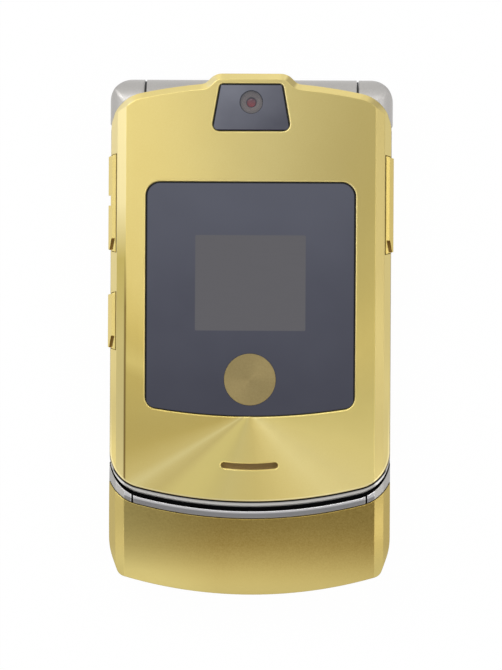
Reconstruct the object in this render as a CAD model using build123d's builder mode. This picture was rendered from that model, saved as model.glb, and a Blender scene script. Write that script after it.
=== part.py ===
from build123d import *
from math import atan2, cos, degrees, radians, sin, tan
import os

# Flip phone, closed, lying on its back. Millimetres. X is the width, +Y points to the hinge end,
# +Z is up through the lid. While the pieces are drawn, Y is measured from the hinge axis. finish() then
# moves each of them, so that the origin is on the resting plane, in the middle of the length.

os.makedirs("parts", exist_ok=True)

# ---- whole phone ----
phone_length = 98.0
phone_thickness = 13.9
base_height = 7.0  # lower half, from the resting plane to its key face
lid_gap = 0.2  # between the two halves when shut
lid_half_width = 26.3
chin_length = 17.75  # from the lid cover's free edge to the tip
seam = 0.08  # between fixed neighbours
slip = 0.05  # radial play of a turning fit
ledge = 1.0  # shelf under a set-in window
lid_low = base_height + lid_gap

# ---- hinge ----
hinge_inset = 6.1  # axis, in from the hinge end
barrel_radius = 5.2
barrel_inset = 6.55  # end of the barrel, in from the lid's side
barrel_gap = 0.4  # between barrel and knuckle, along the axis
collar_radius = 4.9  # washer between barrel and knuckle
sweep_gap = 0.3  # between a hinge cylinder and what passes it
open_angle = 155.0
stop_margin = 2.5  # degrees left past the open lid
pin_radius = 2.6
cam_shaft_radius = 1.2
cam_shaft_length = 4.8
cartridge_length = 14.0
sleeve_bore_radius = 1.9
sleeve_in_barrel = 7.6
knuckle_stand = 0.2  # past the base's side
knuckle_corner = 4.5  # seen from the front
knuckle_shoulder = 3.4  # seen from the hinge end
knuckle_wall = 1.7
knuckle_length = 8.6  # along the phone, from the shoulder to the hinge end
hinge_z = base_height
tip_y = hinge_inset - phone_length
middle_y = hinge_inset - phone_length / 2
barrel_half = lid_half_width - barrel_inset
knuckle_start = barrel_half + barrel_gap
pass_radius = barrel_radius + sweep_gap

# ---- lid outline ----
lid_corner = 7.0
sill_radius = 85.0  # bow of the free edge, and of every edge that runs along it
arch_radius = 100.0
bump_rise = 1.55  # camera bump over the arch
bump_half_top = 6.75
bump_half_root = 8.3
bump_corner = 3.0
bump_root_corner = 2.0
sill_y = tip_y + chin_length
arch_y = hinge_inset - bump_rise

# ---- facets down the long sides ----
shallow_run = 1.7
shallow_drop = 0.9
steep_run = 1.2
steep_drop = 1.5
arch_bevel = 1.4
arch_bevel_drop = 1.1
bevel_run = shallow_run + steep_run
bevel_drop = shallow_drop + steep_drop

# ---- lid cover ----
cover_wall = 0.9
cover_plate = 1.3
housing_rise = 3.0  # inner housing's side wall
nose_thickness = 3.0  # camera bump
window_depth = 0.8
window_sink = 0.1
opening_lip = 0.18  # chamfer round each opening in the front
cover_low = lid_low + housing_rise
cover_roof = phone_thickness - cover_plate
nose_low = phone_thickness - nose_thickness

# ---- outer glass and its disc ----
glass_side = 6.7  # bare metal beside it
glass_top_gap = 14.3  # from the hinge axis
glass_bottom_gap = 16.0  # from the cover's free edge
glass_bottom_radius = 110.0
glass_top_corner = 2.6
glass_bottom_corner = 2.2
disc_radius = 4.84
disc_gap = 6.85  # its middle, from the glass's lower edge
disc_thickness = 0.45
glass_half_width = lid_half_width - glass_side
glass_top_y = -glass_top_gap
glass_bottom_y = sill_y + glass_bottom_gap
disc_y = glass_bottom_y + disc_gap

# ---- camera ----
camera_window_margin = 2.0  # from the hinge end
camera_window_height = 8.78
camera_window_top_half = 5.85
camera_window_bottom_half = 7.4
camera_window_top_corner = 0.8
camera_window_bottom_corner = 1.3
camera_drop = 3.38  # lens, from the window's upper edge
camera_over_axis = 1.3
camera_side = 6.4
camera_base_height = 2.3
camera_barrel_radius = 2.9
camera_ring_radius = 2.08
camera_lens_radius = 0.9
camera_cone_depth = 0.5
camera_window_top_y = hinge_inset - camera_window_margin
camera_window_bottom_y = camera_window_top_y - camera_window_height
camera_y = camera_window_top_y - camera_drop
camera_low = hinge_z + camera_over_axis

# ---- speaker ----
slot_length = 10.64
slot_width = 1.1
slot_gap = 6.5  # from the cover's free edge
slot_sag_radius = 40.0
mesh_thickness = 0.2
speaker_length = 15.0
speaker_width = 9.0
speaker_corner = 2.0
ear_slot_length = 9.0
slot_y = sill_y + slot_gap

# ---- lid inner housing ----
rim_width = 1.05  # silver edge that shows past the cover's free edge
rim_step = 0.1
rim_drop = 0.55  # below the front of the lid
rim_bevel = 0.3
rim_corner_step = 0.5
rim_reach = 6.85  # along the sides, from the cover's free edge
housing_floor = 1.3
housing_hinge_wall = 0.9
rim_top = phone_thickness - rim_drop
rim_corner = lid_corner + rim_corner_step
rim_end_y = sill_y + rim_reach
housing_half_width = lid_half_width + rim_step
housing_pocket_top_y = -pass_radius - housing_hinge_wall
rim_y = sill_y - rim_width
floor_top = lid_low + housing_floor

# ---- displays ----
lens_side = 5.5
lens_top_gap = 7.5  # from the hinge axis
lens_bottom_gap = 14.05  # from the cover's free edge
lens_corner = 2.0
display_view_side = 8.6
display_view_top_gap = 9.3
display_view_bottom_gap = 21.25
display_border = 1.8
display_thickness = 1.6
board_thickness = 0.6
lid_board_side = 5.8
lid_board_top_gap = 0.5  # from the end of the housing's pocket
lid_board_bottom_gap = 13.25
outer_view_half_width = 10.35
outer_view_half_height = 8.95
outer_view_gap = 18.9  # its middle, from the glass's upper edge
outer_view_border = 2.4
lens_half_width = lid_half_width - lens_side
lens_top_y = -lens_top_gap
lens_bottom_y = sill_y + lens_bottom_gap
display_view_half = lid_half_width - display_view_side
display_view_top_y = -display_view_top_gap
display_view_bottom_y = sill_y + display_view_bottom_gap
lid_board_half_width = lid_half_width - lid_board_side
lid_board_top_y = housing_pocket_top_y - lid_board_top_gap
lid_board_bottom_y = sill_y + lid_board_bottom_gap
outer_view_y = glass_top_y - outer_view_gap

# ---- side keys on the lid ----
side_key_reach = 0.5  # past the lid's side
side_key_run = 1.5  # outer face to inner boundary, seen from the front
side_key_rise = 1.6  # lower edge over the lid's inner face
side_key_drop = 1.45  # upper edge under the front of the lid
side_key_play = 0.12
side_key_slant = 0.5
side_key_travel = 0.3
key_slot_gap = 0.4  # dark slot in the key, from its lower end
key_slot_length = 2.2
key_slot_width = 0.65
key_slot_depth = 1.6
key_slot_wall = 0.24  # to the key's outer face
key_slot_lean = 0.4  # upper end farther in than the lower end
flange_reach = 0.3
flange_thickness = 0.4
flange_rise = 0.4
flange_height = 1.9
rocker_gap = 9.1  # upper end, from the hinge axis
rocker_length = 18.4
rocker_waist = 8.7  # notch and pin, from the upper end
rocker_notch = 1.9
rocker_notch_depth = 0.45
rocker_pin_inset = 1.2
rocker_pin_radius = 0.6
rocker_switch_pitch = 11.0
smart_gap = 35.0
smart_length = 10.8
voice_gap = 9.2
voice_length = 18.5
switch_length = 3.0
switch_height = 1.8
side_key_low = lid_low + side_key_rise
side_key_high = phone_thickness - side_key_drop
flange_low = side_key_low + flange_rise
flange_high = flange_low + flange_height
rocker_span = (-rocker_gap - rocker_length, -rocker_gap)
smart_span = (-smart_gap - smart_length, -smart_gap)
voice_span = (-voice_gap - voice_length, -voice_gap)

# ---- screws and pads in the lid ----
screw_shank_radius = 0.75
screw_head_radius = 1.4
screw_head_height = 0.5
pad_radius = 1.9
pad_depth = 0.4
pad_stand = 0.1
boss_radius = 1.9
free_screw_side = 6.3
free_screw_gap = 5.25  # from the cover's free edge
hinge_screw_side = 3.5
hinge_screw_gap = 2.0  # from the end of the housing's pocket
lid_screw_free_end = (lid_half_width - free_screw_side, sill_y + free_screw_gap)
lid_screw_hinge_end = (lid_half_width - hinge_screw_side, housing_pocket_top_y - hinge_screw_gap)

# ---- vibration motor ----
motor_radius = 4.2
motor_height = 2.9
motor_side = 12.8
motor_gap = 7.85  # from the cover's free edge
motor_place = (lid_half_width - motor_side, sill_y + motor_gap)

# ---- base outline ----
base_reach = 0.1  # past the lid's side
waist_gap = 8.8  # from the tip to where the sides start to draw in
waist_angle = 20.0
waist_blend = 12.0
tip_radius = 82.0
tip_corner = 1.9
back_edge = 2.6  # rounding of the resting side's edges
back_slope = 12.0  # hinge end of the back
tongue_reach = 0.8
tongue_corner = 8.0
well_reach = 0.1
well_corner = 8.0
well_gap = 0.83
trim_width = 1.43
base_half_width = lid_half_width + base_reach
knuckle_half_width = base_half_width + knuckle_stand
waist_y = tip_y + waist_gap
tongue_half_width = base_half_width + tongue_reach
well_half_width = base_half_width + well_reach
well_y = rim_y - well_gap
tongue_y = well_y - trim_width

# ---- chin ----
crown_radius = 31.0
crest_drop = 0.3  # below the front of the lid
crest_angle = 4.0
chin_wall = 1.1
trim_drop = 0.2
trim_split = 0.35
trim_end_width = 4.45
trim_split_x = base_half_width - trim_end_width
crown_y = tongue_y + crown_radius * sin(radians(crest_angle))
crown_z = phone_thickness - crest_drop - crown_radius * cos(radians(crest_angle))

# ---- rear housing and door ----
back_split = 3.4  # joint between rear housing and frame
rear_floor = 1.3
rear_wall = 2.0
door_side = 5.9
door_top_gap = 9.6  # from the hinge axis
door_bottom_gap = 6.55  # from the cover's free edge
door_corner = 3.0
door_thickness = 0.75
door_sink = 0.1
door_play = 0.15
door_shelf = 0.8
door_rib = 1.0
door_rib_height = 1.3
latch_gap = 3.9  # its middle, from the door's upper edge
latch_length = 9.0
latch_width = 4.6
latch_flange = 0.7
latch_sink = 0.1
door_high = door_sink + door_thickness
door_half_width = base_half_width - door_side
door_top_y = -door_top_gap
door_bottom_y = sill_y + door_bottom_gap
latch_y = door_top_y - latch_gap

# ---- frame ----
web_drop = 2.0  # under the key face
web_thickness = 0.4
pocket_side = 3.0
pocket_bottom_gap = 0.65
pocket_top_gap = 8.3
bay_margin = 0.4
bay_bottom_gap = 3.25
base_screw_hinge_side = 3.0
base_screw_hinge_gap = 12.4
base_screw_tip_side = 7.4
base_screw_tip_gap = 11.5
web_high = base_height - web_drop
web_low = web_high - web_thickness
pocket_half_width = base_half_width - pocket_side
pocket_bottom_y = sill_y + pocket_bottom_gap
pocket_top_y = -pocket_top_gap
bay_half_width = door_half_width + bay_margin
bay_top_y = door_top_y + bay_margin
bay_bottom_y = sill_y - bay_bottom_gap
base_screw_hinge_end = (base_half_width - base_screw_hinge_side, -base_screw_hinge_gap)
base_screw_tip = (base_half_width - base_screw_tip_side, tip_y + base_screw_tip_gap)

# ---- battery, card holder, socket and board ----
battery_side = 2.9
battery_gap = 0.3  # to the latch
battery_end_gap = 16.5  # from the door's lower edge
battery_clearance = 0.1
battery_corner = 1.2
contact_width = 5.2
contact_depth = 4.0
contact_height = 2.8
contact_side = 4.0
contact_blade = 0.7
sim_half_height = 7.5
sim_half_width = 13.0
sim_height = 1.55
sim_shift = 3.0
sim_gap = 0.6  # to the battery
shield_height = 2.0
shield_side = 0.5
shield_end_gap = 2.1  # to the socket
shield_depth = 5.7
shield_gap = 0.8  # to the card holder
shield_wall = 0.25
socket_drop = 2.4  # its middle, from the shield's upper edge
socket_width = 7.7
socket_height = 3.85
socket_depth = 8.4
socket_wall = 0.4
socket_inset = 0.7
tongue_width = 5.0
tongue_height = 1.0
main_board_thickness = 0.7
dome_sheet_thickness = 0.15
dome_radius = 2.0
battery_half_width = bay_half_width - battery_side
battery_top_y = latch_y - latch_width / 2 - latch_flange - battery_gap
battery_bottom_y = door_bottom_y + battery_end_gap
battery_low = door_high + battery_clearance
battery_high = web_low - battery_clearance
contact_x = bay_half_width - contact_side
contact_low = web_high - contact_height
sim_x = -sim_shift
sim_y = battery_bottom_y - sim_gap - sim_half_height
sim_low = web_high - sim_height
shield_low = web_high - shield_height
shield_top_y = sim_y - sim_half_height - shield_gap
shield_bottom_y = shield_top_y - shield_depth
socket_y = shield_top_y - socket_drop
socket_face_x = base_half_width - socket_inset
socket_back_x = socket_face_x - socket_depth
shield_left = shield_side - bay_half_width
shield_right = socket_back_x - shield_end_gap

# ---- chin contents ----
antenna_half_width = 16.0
antenna_low_gap = 4.0  # from the tip
antenna_depth = 6.5
antenna_height = 1.4
antenna_thickness = 0.4
antenna_slots = 5
antenna_slot_width = 0.8
microphone_radius = 2.0
microphone_height = 1.4
microphone_gap = 2.74
microphone_port_radius = 0.4
antenna_low_y = tip_y + antenna_low_gap
microphone_y = tongue_y - microphone_gap
microphone_low = base_height - microphone_height

# ---- keypad ----
key_thickness = 0.6
key_sink = 0.1
key_travel = 0.25
key_gap = 0.3
key_corner = 0.6
key_edge = 0.12
key_rows = 5
row_margin = 1.0  # under the lowest row
middle_column_half = 7.6
nav_half_width = 10.2
nav_height = 18.0
nav_corner = 2.5
menu_height = 8.1
select_radius = 4.0
function_split = 12.0  # side function keys, height of the lower pair
key_high = base_height - key_sink
key_low = key_high - key_thickness
pocket_corner = key_corner + key_gap
keys_top_y = pocket_top_y - key_gap
column_outer = pocket_half_width - key_gap
side_column_inner = middle_column_half + key_gap
side_inner = nav_half_width + key_gap
nav_high = keys_top_y - menu_height - key_gap
nav_low = nav_high - nav_height
nav_middle_y = (nav_low + nav_high) / 2
function_split_y = nav_low + function_split
lowest_row_y = pocket_bottom_y + row_margin
row_pitch = (nav_low - lowest_row_y) / key_rows


def bowed_plan(half_width, low_y, corner, high_y=phone_length):
    """Straight-sided outline with a bowed lower edge at low_y and rounded lower corners."""
    with BuildSketch() as plan:
        with Locations((0, (low_y + high_y) / 2)):
            Rectangle(2 * half_width, high_y - low_y)
        with Locations((0, low_y + sill_radius)):
            Circle(sill_radius, mode=Mode.INTERSECT)
        fillet(plan.vertices().group_by(Axis.Y)[0], corner)
    return plan.sketch


def arch_plan(inset):
    """Hinge end of the lid cover: a shallow arch that carries the camera bump."""
    with BuildSketch() as plan:
        with Locations((0, arch_y - inset - phone_length / 2)):
            Rectangle(2 * (lid_half_width - inset), phone_length)
        with Locations((0, arch_y - arch_radius)):
            Circle(arch_radius - inset, mode=Mode.INTERSECT)
        fillet(plan.vertices().group_by(Axis.Y)[-1], lid_corner - inset)
        root_y = arch_y - bump_rise
        Polygon(
            (-bump_half_root - bump_rise + inset, root_y - inset),
            (bump_half_root + bump_rise - inset, root_y - inset),
            (bump_half_top - inset, hinge_inset - inset),
            (-bump_half_top + inset, hinge_inset - inset),
        )
        fillet(plan.vertices().group_by(Axis.Y)[-1], bump_corner - inset / 2)
        roots = plan.vertices().filter_by(lambda v: v.Y > arch_y - bump_rise and abs(v.X) > bump_half_top)
        fillet(roots.group_by(Axis.Y)[0], bump_root_corner)
    return plan.sketch


def facet_section(half_width, high, low, inset=0.0):
    """Cross-section with two facets down each side, drawn with its height along the sketch's y."""
    right = [
        (half_width, low),
        (half_width, high - bevel_drop),
        (half_width - steep_run, high - shallow_drop),
        (half_width - bevel_run, high),
    ]
    with BuildSketch() as section:
        Polygon(*right, *[(-x, y) for x, y in reversed(right)])
        if inset:
            offset(amount=-inset, kind=Kind.INTERSECTION, mode=Mode.REPLACE)
    return section.sketch


def base_plan(inset=0.0):
    """Outline of the lower half: straight sides that draw in to a bowed tip."""
    drop = 2 * waist_gap
    run = drop * tan(radians(waist_angle))
    with BuildSketch() as plan:
        Polygon(
            (-base_half_width, phone_length),
            (-base_half_width, waist_y),
            (run - base_half_width, waist_y - drop),
            (base_half_width - run, waist_y - drop),
            (base_half_width, waist_y),
            (base_half_width, phone_length),
        )
        with Locations((0, tip_radius + tip_y)):
            Circle(tip_radius, mode=Mode.INTERSECT)
        waist = plan.vertices().filter_by(lambda v: abs(v.Y - waist_y) < seam)
        fillet(waist, waist_blend)
        fillet(plan.vertices().group_by(Axis.Y)[0], tip_corner)
        if inset:
            offset(amount=-inset, kind=Kind.INTERSECTION, mode=Mode.REPLACE)
    return plan.sketch


def back_section():
    """Cross-section of the lower half with rounded lower edges, height along the sketch's y."""
    with BuildSketch() as section:
        with Locations((0, phone_thickness / 2)):
            Rectangle(2 * base_half_width, phone_thickness)
        fillet(section.vertices().group_by(Axis.Y)[0], back_edge)
    return section.sketch


def hinge_disc(radius):
    """Disc about the hinge axis, in a sketch whose x is the phone's Y and whose y is its Z."""
    with BuildSketch() as disc:
        with Locations((0, hinge_z)):
            Circle(radius)
    return disc.sketch


def glass_plan(grow):
    with BuildSketch() as plan:
        high, low = glass_top_y + grow, glass_bottom_y - grow
        with Locations((0, (high + low) / 2)):
            Rectangle(2 * (glass_half_width + grow), high - low)
        with Locations((0, glass_bottom_y + glass_bottom_radius)):
            Circle(glass_bottom_radius + grow, mode=Mode.INTERSECT)
        fillet(plan.vertices().group_by(Axis.Y)[0], glass_bottom_corner + grow)
        fillet(plan.vertices().group_by(Axis.Y)[-1], glass_top_corner + grow)
    return plan.sketch


def camera_window_plan(grow):
    with BuildSketch() as plan:
        Polygon(
            (-camera_window_top_half, camera_window_top_y),
            (-camera_window_bottom_half, camera_window_bottom_y),
            (camera_window_bottom_half, camera_window_bottom_y),
            (camera_window_top_half, camera_window_top_y),
        )
        fillet(plan.vertices().group_by(Axis.Y)[0], camera_window_bottom_corner)
        fillet(plan.vertices().group_by(Axis.Y)[-1], camera_window_top_corner)
        if grow:
            offset(amount=grow, mode=Mode.REPLACE)
    return plan.sketch


def slot_plan(length, width, middle_y):
    """Round-ended slot that bows towards the free end."""
    half_angle = degrees((length - width) / 2 / slot_sag_radius)
    with BuildSketch() as plan:
        with BuildLine():
            centre = (0, middle_y + slot_sag_radius)
            arc = CenterArc(centre, slot_sag_radius, 270 - half_angle, 2 * half_angle)
        SlotArc(arc, width)
    return plan.sketch


def keypad_plan(inset):
    """Recess for the keys and the board under them."""
    low_y, high_y = pocket_bottom_y + inset, pocket_top_y - inset
    with BuildSketch() as plan:
        add(bowed_plan(pocket_half_width - inset, low_y, pocket_corner, high_y))
        fillet(plan.vertices().group_by(Axis.Y)[-1], pocket_corner)
    return plan.sketch


def rounded_box(half_width, low_y, high_y, corner):
    with BuildSketch() as plan:
        with Locations((0, (low_y + high_y) / 2)):
            RectangleRounded(2 * half_width, high_y - low_y, corner)
    return plan.sketch


def side_key_plan(span, side, grow):
    """Outer part of a side key seen from the front: slanted ends, side is -1 or 1."""
    low_y, high_y = span
    outer = lid_half_width + side_key_reach + grow
    inner = outer - side_key_run - 2 * grow
    with BuildSketch() as plan:
        Polygon(
            (side * inner, low_y - grow),
            (side * outer, low_y + side_key_slant - grow),
            (side * outer, high_y - side_key_slant + grow),
            (side * inner, high_y + grow),
        )
    return plan.sketch


def side_key_section(side):
    """End view of a side key, height along the sketch's y: two facets over an upright face."""
    outer = lid_half_width + side_key_reach
    inner = outer - side_key_run
    with BuildSketch() as section:
        Polygon(
            (side * inner, side_key_low),
            (side * (outer - side_key_play), side_key_low),
            (side * outer, side_key_low + side_key_play),
            (side * outer, side_key_high - steep_drop),
            (side * (outer - side_key_run / 2), side_key_high - side_key_play * 2),
            (side * inner, side_key_high),
        )
    return section.sketch


def cover_form(inset, high, bevel):
    """Lid cover as one block, its walls moved in by inset, its top at high."""
    with BuildPart() as form:
        with BuildSketch(Plane.XY.offset(cover_low)):
            add(arch_plan(inset))
        extrude(amount=high - cover_low)
        if bevel:
            top = form.faces().sort_by(Axis.Z)[-1]
            edges = top.edges().filter_by(lambda e: e.center().Y > 0)
            chamfer(edges, length=arch_bevel_drop, length2=arch_bevel, reference=top)
        with BuildSketch(Plane.XY.offset(cover_low)):
            add(bowed_plan(lid_half_width - inset, sill_y + inset, lid_corner - inset))
        extrude(amount=high - cover_low, mode=Mode.INTERSECT)
        with BuildSketch(Plane.XZ):
            add(facet_section(lid_half_width, phone_thickness, 0, inset))
        extrude(amount=phone_length, both=True, mode=Mode.INTERSECT)
    return form.part


def crown_form(drop, inset):
    """Crowned, faceted block over the chin: a wide wheel trimmed by the base outline."""
    wheel = Plane(origin=(0, crown_y, crown_z), x_dir=(1, 0, 0), z_dir=(0, -1, 0))
    with BuildPart() as form:
        with BuildSketch(wheel):
            add(facet_section(base_half_width, crown_radius - drop, -1, inset))
            with Locations((0, -crown_radius)):
                Rectangle(2 * phone_length, 2 * crown_radius, mode=Mode.SUBTRACT)
        revolve(axis=Axis((0, crown_y, crown_z), (1, 0, 0)))
        with BuildSketch(Plane.XY):
            add(base_plan(inset))
        extrude(amount=phone_thickness, mode=Mode.INTERSECT)
    return form.part


def prism(sketch, low, high):
    """Upright block over a plan."""
    with BuildPart() as block:
        with BuildSketch(Plane.XY.offset(low)):
            add(sketch)
        extrude(amount=high - low)
    return block.part


def cross_bar(sketch, low_x, high_x):
    """Block along X over a side view."""
    with BuildPart() as block:
        with BuildSketch(Plane.YZ.offset(low_x)):
            add(sketch)
        extrude(amount=high_x - low_x)
    return block.part


def box(low_x, high_x, low_y, high_y, low_z, high_z):
    """Block between two corners."""
    with BuildPart() as block:
        with BuildSketch(Plane.XY.offset(low_z)):
            with Locations(((low_x + high_x) / 2, (low_y + high_y) / 2)):
                Rectangle(high_x - low_x, high_y - low_y)
        extrude(amount=high_z - low_z)
    return block.part


def finish(piece, name):
    """Move a finished piece to its place in the phone's frame, label it and write it."""
    placed = piece.part.moved(Location((0, -middle_y, 0)))
    placed.label = name
    export_step(placed, f"parts/{name}.step")


def mirrored(place):
    """A place and its mirror image across the middle of the phone."""
    x, y = place
    return [(x, y), (-x, y)]


side_keys = {
    "volume_rocker": (rocker_span, -1),
    "smart_key": (smart_span, -1),
    "voice_key": (voice_span, 1),
}


def cut_side_key_pockets():
    """Scallops for the side keys, open to the front, and the room behind them for their travel."""
    key_back = lid_half_width + side_key_reach - side_key_run
    room_back = key_back - side_key_travel - side_key_play
    low_z = side_key_low - side_key_play
    for (low_y, high_y), side in side_keys.values():
        plan = side_key_plan((low_y, high_y), side, side_key_play)
        add(prism(plan, low_z, phone_thickness), mode=Mode.SUBTRACT)
        low_x, high_x = sorted((side * room_back, side * key_back))
        room = box(low_x, high_x, low_y - side_key_play, high_y + side_key_play, low_z, side_key_high + slip)
        add(room, mode=Mode.SUBTRACT)


# ==================== lid ====================

with BuildPart() as flip_cover:
    add(cover_form(0, phone_thickness, True))
    add(cover_form(cover_wall, cover_roof, False), mode=Mode.SUBTRACT)
    # bosses for the lid screws
    with BuildSketch(Plane.XY.offset(floor_top + seam)):
        with Locations(*mirrored(lid_screw_free_end), *mirrored(lid_screw_hinge_end)):
            Circle(boss_radius)
    extrude(until=Until.NEXT)
    # the barrel and the knuckles pass under the hinge end
    add(cross_bar(hinge_disc(pass_radius), -lid_half_width, lid_half_width), mode=Mode.SUBTRACT)
    add(box(-lid_half_width, lid_half_width, 0, phone_length, 0, nose_low), mode=Mode.SUBTRACT)
    # recesses with a shelf, and the openings under them
    glass_floor = phone_thickness - window_sink - window_depth
    for plan in (glass_plan, camera_window_plan):
        add(prism(plan(seam), glass_floor, phone_thickness), mode=Mode.SUBTRACT)
        add(prism(plan(-ledge), cover_low, phone_thickness), mode=Mode.SUBTRACT)
    add(prism(slot_plan(slot_length, slot_width, slot_y), cover_low, phone_thickness), mode=Mode.SUBTRACT)
    front = flip_cover.faces().sort_by(Axis.Z)[-1]
    chamfer([edge for wire in front.inner_wires() for edge in wire.edges()], opening_lip)
    cut_side_key_pockets()
    with BuildSketch(Plane.XY.offset(floor_top)):
        with Locations(*mirrored(lid_screw_free_end), *mirrored(lid_screw_hinge_end)):
            Circle(screw_shank_radius + slip)
    extrude(amount=cover_roof - floor_top, mode=Mode.SUBTRACT)
finish(flip_cover, "flip_cover")

with BuildPart() as rim:
    add(prism(bowed_plan(housing_half_width, rim_y, rim_corner), cover_low, rim_top))
    chamfer(rim.faces().sort_by(Axis.Z)[-1].edges(), rim_bevel)
    add(box(-phone_length, phone_length, rim_end_y, 2 * phone_length, 0, phone_thickness), mode=Mode.SUBTRACT)
    inner_edge = bowed_plan(lid_half_width + seam, sill_y - seam, lid_corner + seam)
    add(prism(inner_edge, cover_low, phone_thickness), mode=Mode.SUBTRACT)
    with BuildSketch(Plane.XZ):
        add(facet_section(housing_half_width, rim_top, 0))
    extrude(amount=phone_length, both=True, mode=Mode.INTERSECT)

tray_half_width = lid_half_width - cover_wall
tray_sill_y = sill_y + cover_wall
tray_corner = lid_corner - cover_wall
rocker_pin = (rocker_pin_inset - tray_half_width, -rocker_gap - rocker_waist)

with BuildPart() as flip_inner_housing:
    add(prism(bowed_plan(housing_half_width, rim_y, rim_corner, 0), lid_low, cover_low))
    tray = bowed_plan(tray_half_width, tray_sill_y, tray_corner, housing_pocket_top_y)
    add(prism(tray, floor_top, cover_low), mode=Mode.SUBTRACT)
    for side in (-1, 1):
        ends = sorted((side * barrel_half, side * phone_length))
        add(cross_bar(hinge_disc(pass_radius), *ends), mode=Mode.SUBTRACT)
    add(rim.part)
    add(cross_bar(hinge_disc(barrel_radius), -barrel_half, barrel_half))
    # pin the volume rocker turns on
    with BuildSketch(Plane.XY.offset(lid_low)):
        with Locations(rocker_pin):
            Circle(rocker_pin_radius)
    extrude(amount=flange_high - lid_low)
    # camera pocket and the two hinge bores
    with BuildSketch(Plane.XY.offset(camera_low)):
        with Locations((0, camera_y)):
            Rectangle(camera_side + 2 * seam, camera_side + 2 * seam)
    extrude(amount=phone_thickness, mode=Mode.SUBTRACT)
    bore = hinge_disc(pin_radius + slip)
    add(cross_bar(bore, -barrel_half, cartridge_length + seam - barrel_half), mode=Mode.SUBTRACT)
    add(cross_bar(bore, barrel_half - sleeve_in_barrel - seam, barrel_half), mode=Mode.SUBTRACT)
    # inner screen recess, its opening, and the earpiece slot
    lens_high = lid_low + window_sink + window_depth
    recess = rounded_box(lens_half_width + seam, lens_bottom_y - seam, lens_top_y + seam, lens_corner + seam)
    add(prism(recess, lid_low, lens_high), mode=Mode.SUBTRACT)
    opening = rounded_box(display_view_half, display_view_bottom_y, display_view_top_y, seam)
    add(prism(opening, lid_low, floor_top), mode=Mode.SUBTRACT)
    add(prism(slot_plan(ear_slot_length, slot_width, slot_y), lid_low, floor_top), mode=Mode.SUBTRACT)
    # screw seats, the ones at the free end covered by rubber pads
    with BuildSketch(Plane.XY.offset(lid_low)):
        with Locations(*mirrored(lid_screw_free_end)):
            Circle(pad_radius + slip)
    extrude(amount=pad_depth, mode=Mode.SUBTRACT)
    with BuildSketch(Plane.XY.offset(lid_low)):
        with Locations(*mirrored(lid_screw_free_end), *mirrored(lid_screw_hinge_end)):
            Circle(screw_head_radius + slip)
    extrude(amount=pad_depth + screw_head_height, mode=Mode.SUBTRACT)
    with BuildSketch(Plane.XY.offset(lid_low)):
        with Locations(*mirrored(lid_screw_free_end), *mirrored(lid_screw_hinge_end)):
            Circle(screw_shank_radius + slip)
    extrude(amount=housing_floor, mode=Mode.SUBTRACT)
    cut_side_key_pockets()
finish(flip_inner_housing, "flip_inner_housing")

window_high = phone_thickness - window_sink

with BuildPart() as cover_glass:
    add(prism(glass_plan(0), glass_floor, window_high))
    with BuildSketch(Plane.XY.offset(phone_thickness - disc_thickness)):
        with Locations((0, disc_y)):
            Circle(disc_radius + slip)
    extrude(amount=disc_thickness, mode=Mode.SUBTRACT)
finish(cover_glass, "cover_glass")

with BuildPart() as emblem_disc:
    with BuildSketch(Plane.XY.offset(phone_thickness - disc_thickness)):
        with Locations((0, disc_y)):
            Circle(disc_radius)
    extrude(amount=disc_thickness)
    chamfer(emblem_disc.faces().sort_by(Axis.Z)[-1].edges(), seam)
finish(emblem_disc, "emblem_disc")

with BuildPart() as camera_window:
    add(prism(camera_window_plan(0), glass_floor, window_high))
finish(camera_window, "camera_window")

camera_top = cover_roof - seam
camera_middle = (0, camera_y)

with BuildPart() as camera_module:
    with BuildSketch(Plane.XY.offset(camera_low)):
        with Locations(camera_middle):
            Rectangle(camera_side, camera_side)
    extrude(amount=camera_base_height)
    with BuildSketch(Plane.XY.offset(camera_low)):
        with Locations(camera_middle):
            Circle(camera_barrel_radius)
    extrude(amount=camera_top - camera_low - camera_cone_depth / 2)
    with BuildSketch(Plane.XY.offset(camera_low)):
        with Locations(camera_middle):
            Circle(camera_ring_radius)
    extrude(amount=camera_top - camera_low)
    # stepped hole for the lens, opening upwards as a cone
    with Locations((0, camera_y, camera_top)):
        CounterSinkHole(camera_lens_radius + slip, camera_ring_radius - camera_cone_depth, camera_base_height)
finish(camera_module, "camera_module")

with BuildPart() as camera_lens:
    lens_bottom = camera_top - camera_base_height
    with BuildSketch(Plane.XY.offset(lens_bottom)):
        with Locations(camera_middle):
            Circle(camera_lens_radius)
    extrude(amount=camera_top - camera_cone_depth - lens_bottom)
    fillet(camera_lens.faces().sort_by(Axis.Z)[-1].edges(), camera_lens_radius / 2)
finish(camera_lens, "camera_lens")

with BuildPart() as speaker_mesh:
    mesh = slot_plan(slot_length + 2 * ledge, slot_width + 2 * ledge, slot_y)
    add(prism(mesh, cover_roof - mesh_thickness, cover_roof))
finish(speaker_mesh, "speaker_mesh")

with BuildPart() as loudspeaker:
    speaker_low = floor_top + slip
    speaker_high = cover_roof - mesh_thickness - slip
    with BuildSketch(Plane.XY.offset(speaker_low)):
        with Locations((0, slot_y)):
            RectangleRounded(speaker_length, speaker_width, speaker_corner)
    extrude(amount=speaker_high - speaker_low - window_depth)
    with BuildSketch(Plane.XY.offset(speaker_low)):
        with Locations((0, slot_y)):
            RectangleRounded(speaker_length - 2 * ledge, speaker_width - 2 * ledge, speaker_corner / 2)
    extrude(amount=speaker_high - speaker_low)
finish(loudspeaker, "loudspeaker")

with BuildPart() as inner_lens:
    lens = rounded_box(lens_half_width, lens_bottom_y, lens_top_y, lens_corner)
    add(prism(lens, lid_low + window_sink, lens_high))
finish(inner_lens, "inner_lens")

board_low = floor_top + display_thickness + slip

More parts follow.
